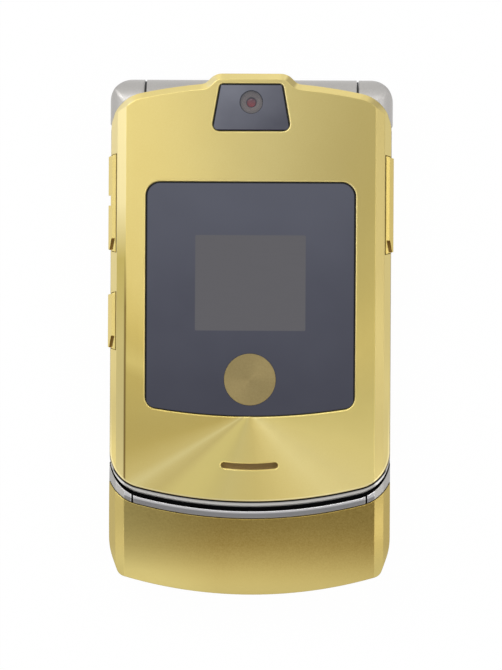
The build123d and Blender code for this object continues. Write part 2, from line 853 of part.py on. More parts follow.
with BuildPart() as main_display:
    low_y, high_y = display_view_bottom_y - display_border, display_view_top_y + display_border
    panel = rounded_box(display_view_half + display_border, low_y, high_y, seam)
    add(prism(panel, floor_top, board_low - slip))
finish(main_display, "main_display")

flange_outer = tray_half_width - slip
flange_inner = flange_outer - flange_thickness
switch_face = flange_inner - side_key_travel - slip
switch_places = [
    (-1, rocker_pin[1] - rocker_switch_pitch / 2),
    (-1, rocker_pin[1] + rocker_switch_pitch / 2),
    (-1, sum(smart_span) / 2),
    (1, sum(voice_span) / 2),
]

with BuildPart() as flip_board:
    add(prism(rounded_box(lid_board_half_width, lid_board_bottom_y, lid_board_top_y, ledge),
              board_low, board_low + board_thickness))
    # ears that carry the side switches
    for side, switch_y in switch_places:
        ear_length = switch_face - lid_board_half_width + ledge
        with BuildSketch(Plane.XY.offset(board_low)):
            with Locations((side * (switch_face - ear_length / 2), switch_y)):
                Rectangle(ear_length, switch_length)
        extrude(amount=board_thickness)
        with BuildSketch(Plane.XY.offset(board_low)):
            with Locations((side * (switch_face - ledge / 2), switch_y)):
                Rectangle(ledge, switch_length)
        extrude(amount=switch_height)
finish(flip_board, "flip_board")

with BuildPart() as outer_display:
    module_half_width = outer_view_half_width + outer_view_border
    module_half_height = outer_view_half_height + outer_view_border
    with BuildSketch(Plane.XY.offset(board_low + board_thickness)):
        with Locations((0, outer_view_y)):
            Rectangle(2 * module_half_width, 2 * module_half_height)
    extrude(amount=glass_floor - slip - board_low - board_thickness)
finish(outer_display, "outer_display")

with BuildPart() as vibration_motor:
    with BuildSketch(Plane.XY.offset(floor_top + slip)):
        with Locations(motor_place):
            Circle(motor_radius)
    extrude(amount=motor_height)
    chamfer(vibration_motor.faces().sort_by(Axis.Z)[-1].edges(), window_sink)
finish(vibration_motor, "vibration_motor")

with BuildPart() as flip_screws:
    places = mirrored(lid_screw_free_end) + mirrored(lid_screw_hinge_end)
    head_low = lid_low + pad_depth
    with BuildSketch(Plane.XY.offset(head_low)):
        with Locations(*places):
            Circle(screw_head_radius)
    extrude(amount=screw_head_height)
    with BuildSketch(Plane.XY.offset(head_low)):
        with Locations(*places):
            Circle(screw_shank_radius)
    extrude(amount=cover_roof - head_low - window_depth)
    with BuildSketch(Plane.XY.offset(head_low)):
        with Locations(*places):
            RegularPolygon(screw_shank_radius, 6)
    extrude(amount=screw_head_height - window_sink, mode=Mode.SUBTRACT)
finish(flip_screws, "flip_screws")

with BuildPart() as bumper_pads:
    with BuildSketch(Plane.XY.offset(lid_low - pad_stand)):
        with Locations(*mirrored(lid_screw_free_end)):
            Circle(pad_radius)
    extrude(amount=pad_depth + pad_stand)
    chamfer(bumper_pads.faces().group_by(Axis.Z)[0].edges(), window_sink)
finish(bumper_pads, "bumper_pads")

with BuildPart() as hinge_cartridge:
    cartridge_start = -barrel_half + slip
    add(cross_bar(hinge_disc(pin_radius), cartridge_start, cartridge_start + cartridge_length - seam))
    shaft_end = cartridge_start + cam_shaft_length
    add(cross_bar(hinge_disc(cam_shaft_radius + slip), cartridge_start, shaft_end), mode=Mode.SUBTRACT)
    chamfer(hinge_cartridge.faces().sort_by(Axis.X)[-1].edges(), window_sink)
finish(hinge_cartridge, "hinge_cartridge")

# ---- side keys ----


def side_key(span, side, flanged):
    """Faceted key that stands in its scallop, with a stem through the lid's wall."""
    low_y, high_y = span
    outer = lid_half_width + side_key_reach
    with BuildPart() as key:
        add(prism(side_key_plan(span, side, 0), 0, phone_thickness))
        with BuildSketch(Plane.XZ):
            add(side_key_section(side))
        extrude(amount=phone_length, both=True, mode=Mode.INTERSECT)
        stem_low, stem_high = low_y + side_key_slant, high_y - side_key_slant
        with BuildSketch(Plane.XY.offset(flange_low)):
            with Locations((side * (flange_inner + outer) / 2, (stem_low + stem_high) / 2)):
                Rectangle(outer - flange_inner - side_key_run / 2, stem_high - stem_low)
            if flanged:
                with Locations((side * (flange_inner + flange_outer) / 2, (low_y + high_y) / 2)):
                    Rectangle(flange_thickness, high_y - low_y + 2 * flange_reach)
        extrude(amount=flange_high - flange_low)
        slot_low = low_y + key_slot_gap
        slot_outer = outer - key_slot_wall
        slot_inner = slot_outer - key_slot_width
        with BuildSketch(Plane.XY.offset(side_key_high - key_slot_depth)):
            Polygon(
                (side * slot_outer, slot_low),
                (side * slot_inner, slot_low),
                (side * (slot_inner - key_slot_lean), slot_low + key_slot_length),
                (side * (slot_outer - key_slot_lean), slot_low + key_slot_length),
            )
        extrude(amount=key_slot_depth, mode=Mode.SUBTRACT)
    return key.part


with BuildPart() as smart_key:
    add(side_key(smart_span, -1, True))
finish(smart_key, "smart_key")

with BuildPart() as voice_key:
    add(side_key(voice_span, 1, True))
finish(voice_key, "voice_key")

with BuildPart() as volume_rocker:
    add(side_key(rocker_span, -1, False))
    pin_x, pin_y = rocker_pin
    # waist between the two halves of the rocker
    with BuildSketch(Plane.XY.offset(side_key_low)):
        with Locations((-lid_half_width - side_key_reach, pin_y)):
            Rectangle(2 * rocker_notch_depth, rocker_notch)
    extrude(amount=side_key_high - side_key_low, mode=Mode.SUBTRACT)
    # ear on the pin
    with BuildSketch(Plane.XY.offset(flange_low)):
        with Locations(((pin_x - flange_outer) / 2, pin_y)):
            Rectangle(pin_x + flange_outer, 4 * rocker_pin_radius)
        with Locations(rocker_pin):
            Circle(2 * rocker_pin_radius)
            Circle(rocker_pin_radius + slip, mode=Mode.SUBTRACT)
    extrude(amount=flange_high - flange_low - slip)
finish(volume_rocker, "volume_rocker")


# ==================== lower half ====================

slope = radians(back_slope)
tangent_y = barrel_radius * sin(slope)
tangent_z = hinge_z - barrel_radius * cos(slope)
back_break_y = tangent_y - tangent_z / tan(slope)  # where the back starts to rise to the hinge
knuckle_low_y = barrel_radius - knuckle_length
nose_angle = degrees(atan2(nose_low - hinge_z, hinge_inset))
stop_angle = radians(nose_angle - open_angle - stop_margin)
sweep_reach = 4 * hinge_inset  # well past everything that turns with the lid
knuckle_bore_end = knuckle_half_width - knuckle_wall


def socket_section(grow):
    """End view of the charging socket, lower corners cut off; the sketch's x is the phone's Y."""
    half, high, low = socket_width / 2 + grow, web_high, web_high - socket_height - grow
    cut = ledge + grow / 2
    with BuildSketch() as section:
        Polygon(
            (socket_y - half, high),
            (socket_y - half, low + cut),
            (socket_y - half + cut, low),
            (socket_y + half - cut, low),
            (socket_y + half, low + cut),
            (socket_y + half, high),
        )
    return section.sketch


def hinge_side_view():
    """Hinge end of the frame from the side: the back rises on a tangent to the hinge cylinder."""
    with BuildSketch() as view:
        Polygon(
            (back_break_y, 0),
            (tangent_y, tangent_z),
            (0, hinge_z),
            (back_break_y, base_height),
        )
        add(hinge_disc(barrel_radius))
    return view.sketch


def knuckle_section():
    """Knuckles from the hinge end: rounded back edges and rounded shoulders."""
    high = hinge_z + barrel_radius
    with BuildSketch() as section:
        with Locations((0, high / 2)):
            Rectangle(2 * knuckle_half_width, high)
        fillet(section.vertices().group_by(Axis.Y)[0], back_edge)
        fillet(section.vertices().group_by(Axis.Y)[-1], knuckle_shoulder)
    return section.sketch


def swept_space():
    """Side view of the space that the lid's barrel and hinge end turn through."""
    low_ray = (sweep_reach * cos(stop_angle), hinge_z + sweep_reach * sin(stop_angle))
    with BuildSketch() as view:
        add(hinge_disc(pass_radius))
        Polygon(
            (0, hinge_z),
            low_ray,
            (sweep_reach, low_ray[1]),
            (sweep_reach, hinge_z + sweep_reach),
            (0, hinge_z + sweep_reach),
        )
    return view.sketch


with BuildPart() as hinge_wall:
    add(cross_bar(hinge_side_view(), -base_half_width, base_half_width))
    with BuildSketch(Plane.XZ):
        add(back_section())
    extrude(amount=phone_length, both=True, mode=Mode.INTERSECT)
    add(box(-phone_length, phone_length, tip_y, knuckle_low_y, 0, base_height), mode=Mode.INTERSECT)

with BuildPart() as knuckles:
    add(cross_bar(hinge_side_view(), -knuckle_half_width, knuckle_half_width))
    with BuildSketch(Plane.XY):
        with Locations((0, (knuckle_low_y + barrel_radius) / 2)):
            knuckle_outline = Rectangle(2 * knuckle_half_width, knuckle_length)
        fillet(knuckle_outline.vertices().group_by(Axis.Y)[-1], knuckle_corner)
    extrude(amount=phone_thickness, mode=Mode.INTERSECT)
    with BuildSketch(Plane.XZ):
        add(knuckle_section())
    extrude(amount=phone_length, both=True, mode=Mode.INTERSECT)

base_screws_at = mirrored(base_screw_hinge_end) + mirrored(base_screw_tip)

with BuildPart() as base_frame:
    # band between the rear housing and the key face, narrower inside the chin
    with BuildSketch(Plane.XY.offset(back_split)):
        add(base_plan())
        add(bowed_plan(tongue_half_width, tongue_y + seam, tongue_corner), mode=Mode.INTERSECT)
        add(base_plan(chin_wall + seam))
    extrude(amount=base_height - back_split)
    add(box(-phone_length, phone_length, back_break_y, phone_length, 0, phone_thickness), mode=Mode.SUBTRACT)
    add(hinge_wall.part)
    add(knuckles.part)
    # the lid's barrel and hinge end turn between the knuckles
    add(cross_bar(swept_space(), -knuckle_start, knuckle_start), mode=Mode.SUBTRACT)
    bore = hinge_disc(pin_radius + slip)
    add(cross_bar(bore, -knuckle_bore_end, -knuckle_start), mode=Mode.SUBTRACT)
    add(cross_bar(bore, knuckle_start, knuckle_bore_end), mode=Mode.SUBTRACT)
    # key recess above, bay below, and the openings in the web between them
    add(prism(keypad_plan(0), web_high, base_height), mode=Mode.SUBTRACT)
    add(prism(rounded_box(bay_half_width, bay_bottom_y, bay_top_y, ledge), back_split, web_low),
        mode=Mode.SUBTRACT)
    add(box(shield_left - seam, shield_right + seam, shield_bottom_y - seam, shield_top_y + seam,
            back_split, web_high), mode=Mode.SUBTRACT)
    add(box(sim_x - sim_half_width - seam, sim_x + sim_half_width + seam,
            sim_y - sim_half_height - seam, sim_y + sim_half_height + seam, back_split, web_high),
        mode=Mode.SUBTRACT)
    add(box(contact_x - contact_width / 2 - seam, contact_x + contact_width / 2 + seam,
            battery_bottom_y - contact_blade - contact_depth - seam, battery_bottom_y - contact_blade + seam,
            back_split, web_high), mode=Mode.SUBTRACT)
    add(cross_bar(socket_section(seam), socket_back_x - seam, phone_length),
        mode=Mode.SUBTRACT)
    # microphone seat and screw holes
    with BuildSketch(Plane.XY.offset(microphone_low)):
        with Locations((0, microphone_y)):
            Circle(microphone_radius + seam)
    extrude(amount=microphone_height, mode=Mode.SUBTRACT)
    with BuildSketch(Plane.XY.offset(back_split)):
        with Locations(*base_screws_at):
            Circle(screw_shank_radius + slip)
    extrude(amount=web_low - back_split, mode=Mode.SUBTRACT)
finish(base_frame, "base_frame")

with BuildPart() as rear_housing:
    add(prism(base_plan(), 0, back_split))
    with BuildSketch(Plane.XZ):
        add(back_section())
    extrude(amount=phone_length, both=True, mode=Mode.INTERSECT)
    with BuildSketch(Plane.YZ):
        with Locations(((back_break_y + tip_y) / 2, back_split / 2)):
            side_view = Rectangle(back_break_y - tip_y, back_split)
        tip_edge = side_view.vertices().group_by(Axis.Y)[0].sort_by(Axis.X)[0]
        fillet(tip_edge, back_edge)
    extrude(amount=phone_length, both=True, mode=Mode.INTERSECT)
    # hollow, with bosses for the screws
    with BuildSketch(Plane.XY.offset(rear_floor)):
        add(base_plan(rear_wall))
        with Locations((0, bay_top_y + phone_length / 2)):
            Rectangle(phone_length, phone_length, mode=Mode.SUBTRACT)
        with Locations(*base_screws_at):
            Circle(boss_radius, mode=Mode.SUBTRACT)
    extrude(amount=back_split - rear_floor, mode=Mode.SUBTRACT)
    # door recess with its shelf
    recess = rounded_box(door_half_width + door_play, door_bottom_y - door_play, door_top_y + door_play,
                         door_corner + door_play)
    add(prism(recess, 0, door_high), mode=Mode.SUBTRACT)
    opening = rounded_box(door_half_width - door_shelf, door_bottom_y + door_shelf, door_top_y - door_shelf,
                          door_corner - door_shelf)
    add(prism(opening, 0, back_split), mode=Mode.SUBTRACT)
    add(cross_bar(socket_section(seam), socket_back_x - seam, phone_length),
        mode=Mode.SUBTRACT)
    head_depth = 2 * door_sink + screw_head_height
    with Locations(*[Plane(origin=(x, y, 0), z_dir=(0, 0, -1)) for x, y in base_screws_at]):
        CounterBoreHole(screw_shank_radius + slip, screw_head_radius + slip, head_depth, back_split)
finish(rear_housing, "rear_housing")

with BuildPart() as chin_cover:
    add(crown_form(0, 0))
    add(crown_form(0, chin_wall), mode=Mode.SUBTRACT)
    add(prism(bowed_plan(tongue_half_width, tongue_y, tongue_corner), 0, phone_thickness), mode=Mode.SUBTRACT)
    add(box(-phone_length, phone_length, -phone_length, phone_length, 0, back_split), mode=Mode.SUBTRACT)
    add(cross_bar(socket_section(seam), socket_back_x - seam, phone_length),
        mode=Mode.SUBTRACT)
finish(chin_cover, "chin_cover")

with BuildPart() as chin_trim:
    add(crown_form(trim_drop, 0))
    add(prism(bowed_plan(tongue_half_width, tongue_y + 1.5 * seam, tongue_corner), 0, phone_thickness),
        mode=Mode.INTERSECT)
    add(prism(bowed_plan(well_half_width, well_y, well_corner), 0, phone_thickness), mode=Mode.SUBTRACT)
    add(box(-phone_length, phone_length, -phone_length, phone_length, 0, base_height), mode=Mode.SUBTRACT)
    for side in (-1, 1):
        split_x = side * trim_split_x
        add(box(split_x - trim_split / 2, split_x + trim_split / 2, -phone_length, phone_length,
                0, phone_thickness), mode=Mode.SUBTRACT)
    # sound hole of the microphone
    with BuildSketch(Plane.XZ.offset(-tongue_y)):
        with Locations((0, base_height + 2 * microphone_port_radius)):
            Circle(microphone_port_radius)
    extrude(amount=2 * trim_width, both=True, mode=Mode.SUBTRACT)
finish(chin_trim, "chin_trim")

with BuildPart() as hinge_cam:
    cam_face = -barrel_half
    add(cross_bar(hinge_disc(pin_radius), -knuckle_bore_end + slip, cam_face))
    add(cross_bar(hinge_disc(collar_radius), -knuckle_start + slip, cam_face - slip))
    add(cross_bar(hinge_disc(cam_shaft_radius), cam_face, cam_face + cam_shaft_length))
    chamfer(hinge_cam.faces().sort_by(Axis.X)[-1].edges(), window_sink)
finish(hinge_cam, "hinge_cam")

with BuildPart() as hinge_sleeve:
    sleeve_ends = (barrel_half - sleeve_in_barrel, knuckle_bore_end - slip)
    add(cross_bar(hinge_disc(pin_radius), *sleeve_ends))
    add(cross_bar(hinge_disc(collar_radius), barrel_half + slip, knuckle_start - slip))
    add(cross_bar(hinge_disc(sleeve_bore_radius), *sleeve_ends), mode=Mode.SUBTRACT)
finish(hinge_sleeve, "hinge_sleeve")

with BuildPart() as main_board:
    board_high = web_high + main_board_thickness
    add(prism(keypad_plan(key_gap), web_high, board_high))
finish(main_board, "main_board")

with BuildPart() as shield_can:
    add(box(shield_left, shield_right, shield_bottom_y, shield_top_y, shield_low, web_high))
    fillet(shield_can.edges().filter_by(Axis.Z), ledge)
    shell = shield_wall
    add(box(shield_left + shell, shield_right - shell, shield_bottom_y + shell, shield_top_y - shell,
            shield_low + shell, web_high), mode=Mode.SUBTRACT)
finish(shield_can, "shield_can")

with BuildPart() as sim_holder:
    low_y, high_y = sim_y - sim_half_height, sim_y + sim_half_height
    add(box(sim_x - sim_half_width, sim_x + sim_half_width, low_y, high_y, sim_low, web_high))
    chamfer(sim_holder.edges().filter_by(Axis.Z).group_by(Axis.X)[0].sort_by(Axis.Y)[-1], 3 * ledge)
    add(box(sim_x - sim_half_width + 2 * ledge, sim_x + sim_half_width, low_y + 2 * ledge, high_y - 2 * ledge,
            sim_low, sim_low + window_depth), mode=Mode.SUBTRACT)
finish(sim_holder, "sim_holder")

with BuildPart() as battery:
    add(prism(rounded_box(battery_half_width, battery_bottom_y, battery_top_y, battery_corner),
              battery_low, battery_high))
    fillet(battery.faces().sort_by(Axis.Z)[0].edges(), battery_corner / 4)
finish(battery, "battery")

with BuildPart() as battery_contacts:
    contact_face_y = battery_bottom_y - contact_blade
    add(box(contact_x - contact_width / 2, contact_x + contact_width / 2, contact_face_y - contact_depth,
            contact_face_y, contact_low, web_high))
    with BuildSketch(Plane.XY.offset(contact_low + ledge)):
        with Locations((contact_x - 2 * contact_blade, contact_face_y)):
            with GridLocations(2 * contact_blade, 1, 2, 1):
                Rectangle(contact_blade, 2 * (contact_blade - slip))
    extrude(amount=ledge)
finish(battery_contacts, "battery_contacts")

with BuildPart() as usb_socket:
    add(cross_bar(socket_section(0), socket_back_x, socket_face_x))
    add(cross_bar(socket_section(-socket_wall), socket_back_x + socket_wall, socket_face_x),
        mode=Mode.SUBTRACT)
    tongue_low = web_high - (socket_height + tongue_height) / 2
    add(box(socket_back_x, socket_face_x - 2 * ledge, socket_y - tongue_width / 2,
            socket_y + tongue_width / 2, tongue_low, tongue_low + tongue_height))
finish(usb_socket, "usb_socket")

with BuildPart() as microphone:
    with BuildSketch(Plane.XY.offset(microphone_low)):
        with Locations((0, microphone_y)):
            Circle(microphone_radius)
    extrude(amount=microphone_height)
    with BuildSketch(Plane.XY.offset(base_height)):
        with Locations((0, microphone_y)):
            Circle(microphone_port_radius)
    extrude(amount=-microphone_height / 2, mode=Mode.SUBTRACT)
finish(microphone, "microphone")

with BuildPart() as antenna:
    antenna_middle_y = antenna_low_y + antenna_depth / 2
    sheet_low = base_height + antenna_height
    with BuildSketch(Plane.XY.offset(sheet_low)):
        with Locations((0, antenna_middle_y)):
            RectangleRounded(2 * antenna_half_width, antenna_depth, ledge)
        # slots from alternate edges make the strip fold to and fro
        pitch = 2 * antenna_half_width / (antenna_slots + 1)
        for turn in range(antenna_slots):
            slot_side = 1 if turn % 2 else -1
            slot_x = (turn + 1) * pitch - antenna_half_width
            with Locations((slot_x, antenna_middle_y + slot_side * ledge)):
                Rectangle(antenna_slot_width, antenna_depth, mode=Mode.SUBTRACT)
    extrude(amount=antenna_thickness)
    # feet
    with BuildSketch(Plane.XY.offset(base_height)):
        with Locations((0, antenna_middle_y)):
            with GridLocations(2 * antenna_half_width - pitch, 1, 2, 1):
                Rectangle(ledge, 2 * ledge)
    extrude(amount=antenna_height)
finish(antenna, "antenna")

with BuildPart() as base_screws:
    base_head_low = 2 * door_sink
    for radius, length in ((screw_head_radius, screw_head_height), (screw_shank_radius, web_low - ledge / 2)):
        with BuildSketch(Plane.XY.offset(base_head_low)):
            with Locations(*base_screws_at):
                Circle(radius)
        extrude(amount=length)
    with BuildSketch(Plane.XY.offset(base_head_low)):
        with Locations(*base_screws_at):
            RegularPolygon(screw_shank_radius, 6)
    extrude(amount=screw_head_height - window_sink, mode=Mode.SUBTRACT)
finish(base_screws, "base_screws")

# ---- battery door ----


def latch_plan(grow):
    with BuildSketch() as plan:
        with Locations((0, latch_y)):
            SlotOverall(latch_length + 2 * grow, latch_width + 2 * grow)
    return plan.sketch


with BuildPart() as battery_door:
    door_plan = rounded_box(door_half_width, door_bottom_y, door_top_y, door_corner)
    add(prism(door_plan, door_sink, door_high))
    rib_x = (battery_half_width + door_half_width - door_shelf) / 2
    rib_length = battery_top_y - battery_bottom_y
    with BuildSketch(Plane.XY.offset(door_high)):
        with Locations((0, (battery_top_y + battery_bottom_y) / 2)):
            with GridLocations(2 * rib_x, 1, 2, 1):
                Rectangle(door_rib, rib_length)
    extrude(amount=door_rib_height)
    add(prism(latch_plan(door_play), 0, door_high), mode=Mode.SUBTRACT)
finish(battery_door, "battery_door")

with BuildPart() as door_latch:
    add(prism(latch_plan(0), door_sink + latch_sink, door_high + slip))
    add(prism(latch_plan(latch_flange), door_high + slip, door_high + slip + latch_flange))
    chamfer(door_latch.faces().sort_by(Axis.Z)[0].edges(), window_sink)
finish(door_latch, "door_latch")

# ==================== keypad ====================


def band_plan(low_x, high_x, low_y, high_y, corner=key_corner):
    """Key between two upright edges and two bowed ones, which pass x = 0 at low_y and high_y."""
    with BuildSketch() as plan:
        with Locations(((low_x + high_x) / 2, (pocket_bottom_y + keys_top_y) / 2)):
            Rectangle(high_x - low_x, keys_top_y - pocket_bottom_y)
        with Locations((0, low_y + sill_radius)):
            Circle(sill_radius, mode=Mode.INTERSECT)
        if high_y < keys_top_y:
            with Locations((0, high_y + sill_radius)):
                Circle(sill_radius, mode=Mode.SUBTRACT)
        fillet(plan.vertices(), corner)
    return plan.sketch


columns = [
    (-column_outer, -side_column_inner),
    (-middle_column_half, middle_column_half),
    (side_column_inner, column_outer),
]
rows = [
    ("star", "0", "hash"),
    ("7", "8", "9"),
    ("4", "5", "6"),
    ("1", "2", "3"),
    ("send", "clear", "end"),
]
key_plans = {}
for row, names in enumerate(rows):
    row_y = lowest_row_y + row * row_pitch
    for name, (low_x, high_x) in zip(names, columns):
        key_plans[name] = band_plan(low_x, high_x, row_y, row_y + row_pitch - key_gap)

menu_low = nav_high + key_gap
key_plans["menu"] = band_plan(-nav_half_width, nav_half_width, menu_low, keys_top_y)
lower_pair = (nav_low, function_split_y - key_gap / 2)
upper_pair = (function_split_y + key_gap / 2, keys_top_y)
key_plans["browser"] = band_plan(-column_outer, -side_inner, *lower_pair)
key_plans["message"] = band_plan(side_inner, column_outer, *lower_pair)
key_plans["soft_left"] = band_plan(-column_outer, -side_inner, *upper_pair)
key_plans["soft_right"] = band_plan(side_inner, column_outer, *upper_pair)

with BuildSketch() as ring_plan:
    add(band_plan(-nav_half_width, nav_half_width, nav_low, nav_high, nav_corner))
    with Locations((0, nav_middle_y)):
        Circle(select_radius + key_gap, mode=Mode.SUBTRACT)
key_plans["ring"] = ring_plan.sketch

with BuildSketch() as select_plan:
    with Locations((0, nav_middle_y)):
        Circle(select_radius)
key_plans["select"] = select_plan.sketch


def key_from(plan):
    """Thin key with a fine bevel round its face."""
    with BuildPart() as key:
        add(prism(plan, key_low, key_high))
        chamfer(key.faces().sort_by(Axis.Z)[-1].edges(), key_edge)
    return key.part


for name, plan in key_plans.items():
    with BuildPart() as key:
        add(key_from(plan))
    finish(key, f"key_{name}")

ring_x = (nav_half_width + select_radius) / 2
ring_y = (nav_height / 2 + select_radius) / 2
dome_places = [plan.bounding_box().center() for name, plan in key_plans.items() if name != "ring"]
dome_places += [(-ring_x, nav_middle_y), (ring_x, nav_middle_y)]
dome_places += [(0, nav_middle_y - ring_y), (0, nav_middle_y + ring_y)]

with BuildPart() as dome_sheet:
    sheet_high = board_high + dome_sheet_thickness
    add(prism(keypad_plan(key_gap), board_high, sheet_high))
    with BuildSketch(Plane.XY.offset(sheet_high)):
        with Locations(*dome_places):
            Circle(dome_radius)
    extrude(amount=key_low - key_travel - slip - sheet_high)
finish(dome_sheet, "dome_sheet")
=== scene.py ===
import math

import bmesh
import bpy
from mathutils import Matrix, Vector


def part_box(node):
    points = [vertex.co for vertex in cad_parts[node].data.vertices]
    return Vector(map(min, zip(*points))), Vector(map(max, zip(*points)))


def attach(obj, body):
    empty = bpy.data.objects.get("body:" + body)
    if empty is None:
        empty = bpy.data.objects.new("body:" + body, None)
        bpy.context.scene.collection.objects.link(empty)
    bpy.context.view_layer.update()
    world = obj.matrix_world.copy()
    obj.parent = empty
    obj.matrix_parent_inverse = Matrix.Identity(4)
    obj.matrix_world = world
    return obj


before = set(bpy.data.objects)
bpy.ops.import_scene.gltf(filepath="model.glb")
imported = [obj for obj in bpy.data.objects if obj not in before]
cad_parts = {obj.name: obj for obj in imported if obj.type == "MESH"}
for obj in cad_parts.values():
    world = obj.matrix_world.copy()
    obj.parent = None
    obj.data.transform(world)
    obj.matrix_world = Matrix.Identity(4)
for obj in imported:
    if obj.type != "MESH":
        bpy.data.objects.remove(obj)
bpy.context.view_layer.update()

MM = 0.001

# ---------------------------------------------------------------------------
# Places on the phone, in millimetres
# ---------------------------------------------------------------------------


def corners(name):
    """The low and the high corner of a CAD piece's box."""
    return [[value / MM for value in corner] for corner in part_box(name)]


def centre(name):
    """The middle of a CAD piece's box."""
    return [(low + high) / 2 for low, high in zip(*corners(name))]


def inset(name, border):
    """The low and the high corner, on X and Y, of a CAD piece's box moved inwards by a border."""
    low, high = corners(name)
    return [value + border for value in low[:2]], [value - border for value in high[:2]]


# The lid cover's free edge, seen from the front.
EDGE_HALF_WIDTH = corners("flip_cover")[1][0]
EDGE_CORNER = 7.0
EDGE_BOW = 85.0  # radius between the corners
EDGE_BOW_Y = 53.75  # middle of that radius

SPUN_CENTRE = (0.0, -14.5)  # middle of the lid's circular brushing

# Each pair is where a painted tone of the lid starts and where it is full: painted light and shade on its
# facets, and its painted shade and highlight lines.
LEFT_PAINTED_LIGHT_Y = (-30, 40)
RIGHT_PAINTED_LIGHT_Y = (12, -12)
CREASE_SHADE_X = -23.45  # painted shade along the crease between the lid's face and its left facets
CREASE_SIDES = (0.3, 0.05)  # from that line
CREASE_FADE_Y = (16, 5)
FREE_END_Y = (-12, -22)
FREE_END_Z = (11.5, 11.7)
# A painted highlight line and a painted shade line along the lid's free edge.
EDGE_HIGHLIGHT_LINE = (-0.42, -0.2)  # from the free edge, as the next
EDGE_SHADE_LINE = (-0.12, -0.02)

# The outer glass: its shape, and a black border round its edge, painted shade where the glass meets the
# cover.
GLASS_CORNER = 2.4
GLASS_BOW = 110.0  # radius of the lower edge
GLASS_SHADE_BORDER = 0.24
GLASS_LOW_SHADE_BORDER = 0.1
DISPLAY_FRAME = 2.4  # part of the small display that the print hides, all round
DISPLAY_CORNER = 0.25

# The camera's window narrows towards the hinge.
WINDOW_HALF_WIDTH_LOW = 7.4
WINDOW_HALF_WIDTH_HIGH = 5.85
CLEAR_RADIUS = 2.2  # clear round over the camera
RING_INNER, RING_OUTER = 0.98, 2.06  # paler ring round the lens

INNER_LENS_BORDER = 1.8  # black print over the main display's frame
INNER_LENS_CORNER = 0.4
DISPLAY_PITCH = 0.2
WEAVE_PITCH = 0.22
TRACK_LENGTH = 1.6
LABEL_LOW, LABEL_HIGH = (-14.5, -4.0), (14.5, 22.0)  # the battery's label
LABEL_CORNER = 1.0

GROOVE_FLOOR = (6.9, 7.1)  # heights just below and above the floor of the groove, which is painted black as painted shade
GROOVE_START_Y = -23.0
RIM_LOW = 12.0  # the silver rim at the lid's free end lies above this height
SEAM_SHADE = (0.38, 0.24)  # from the free edge: start and full of the painted shade in the joint outside it
HIGHLIGHT_REACH = (2.36, 2.2)  # from the free edge: where the painted highlight on the trim's edge starts and is full
# Where the chin's painted light starts and is full, towards its tip and its left side.
CHIN_TIP_Y = (-39.5, -48)
CHIN_LEFT_X = (-6, -24)

# Painted shade in the slots at the lower ends of the side keys.
SLOT_SIDE = (25.45, 26.58)
SLOT_TOP = 11.3
SLOT_SPANS = ((15.55, 18.05), (-2.55, -0.25))

# ---------------------------------------------------------------------------
# Colours
# ---------------------------------------------------------------------------


def linear(*levels):
    """A colour given as 0 to 255 screen levels, as Blender's linear RGBA."""
    shares = [level / 255 for level in levels]
    rgb = [share / 12.92 if share <= 0.04045 else ((share + 0.055) / 1.055) ** 2.4 for share in shares]
    return (*rgb, 1.0)


def dimmed(colour, share):
    """A colour with its three levels brought down to a share."""
    return (*(level * share for level in colour[:3]), 1.0)


# The lid's gold: the shaded and lit ends of its fan of painted highlight rays, and a brighter painted
# highlight.
GOLD_FAN_LIT = linear(240, 225, 158)
GOLD_FAN_SHADED = linear(210, 182, 86)
GOLD_PAINTED_HIGHLIGHT = linear(255, 236, 148)
# Painted shade and a painted highlight for the lid's lines, painted shade in the key slots, painted light
# on the chin.
GOLD_SHADE = linear(120, 96, 44)
GOLD_EDGE_HIGHLIGHT = linear(250, 236, 178)
GOLD_SLOT_SHADE = linear(170, 135, 72)
GOLD_CHIN_PAINTED_LIGHT = linear(196, 179, 111)
SILVER = linear(186, 183, 180)
SILVER_DARK = linear(168, 166, 163)
# The lid's rim is painted paler than the rest of the silver, as painted light.
SILVER_RIM_PAINTED_LIGHT = linear(214, 212, 208)
TRIM_DARK = linear(150, 149, 151)
TRIM_LIGHT = linear(166, 165, 166)
# A painted highlight on the trim's edge, and the tone kept on its flanks.
TRIM_HIGHLIGHT = linear(224, 223, 224)
TRIM_FLANK = linear(170, 168, 165)
# The glass's print, and its paler end, which is a painted reflection.
GLASS_PRINT = linear(64, 65, 76)
GLASS_PRINT_REFLECTION = linear(84, 86, 97)
GLASS_DISPLAY = linear(93, 92, 96)
# Black, also used for painted shade in the joints, the groove and round the outer glass.
BLACK = linear(26, 26, 28)

# The lid's facets, each from its darker to its lighter tone: painted light and shade, different on each
# side and along each facet.
LEFT_SHALLOW_PAINTED_LIGHT = linear(186, 168, 93), linear(232, 217, 160)
RIGHT_SHALLOW_PAINTED_LIGHT = linear(181, 164, 104), linear(204, 186, 120)
LEFT_STEEP_PAINTED_LIGHT = linear(218, 198, 122), linear(236, 220, 162)
RIGHT_STEEP_PAINTED_LIGHT = linear(214, 196, 128)

# ---------------------------------------------------------------------------
# Node graphs
# ---------------------------------------------------------------------------

MIX_SHARE, MIX_FIRST, MIX_SECOND, MIX_RESULT = 0, 6, 7, 2  # the Mix node's sockets for colours
BEVEL_SAMPLES = 6


def fill_ramp(node, stops):
    """Give a colour ramp its greys: stops are (position, level), in order."""
    elements = node.color_ramp.elements
    while len(elements) < len(stops):
        elements.new(0.5)
    for element, (position, _) in zip(elements, stops):
        element.position = position
    for element, (_, level) in zip(elements, stops):
        element.color = (level, level, level, 1)


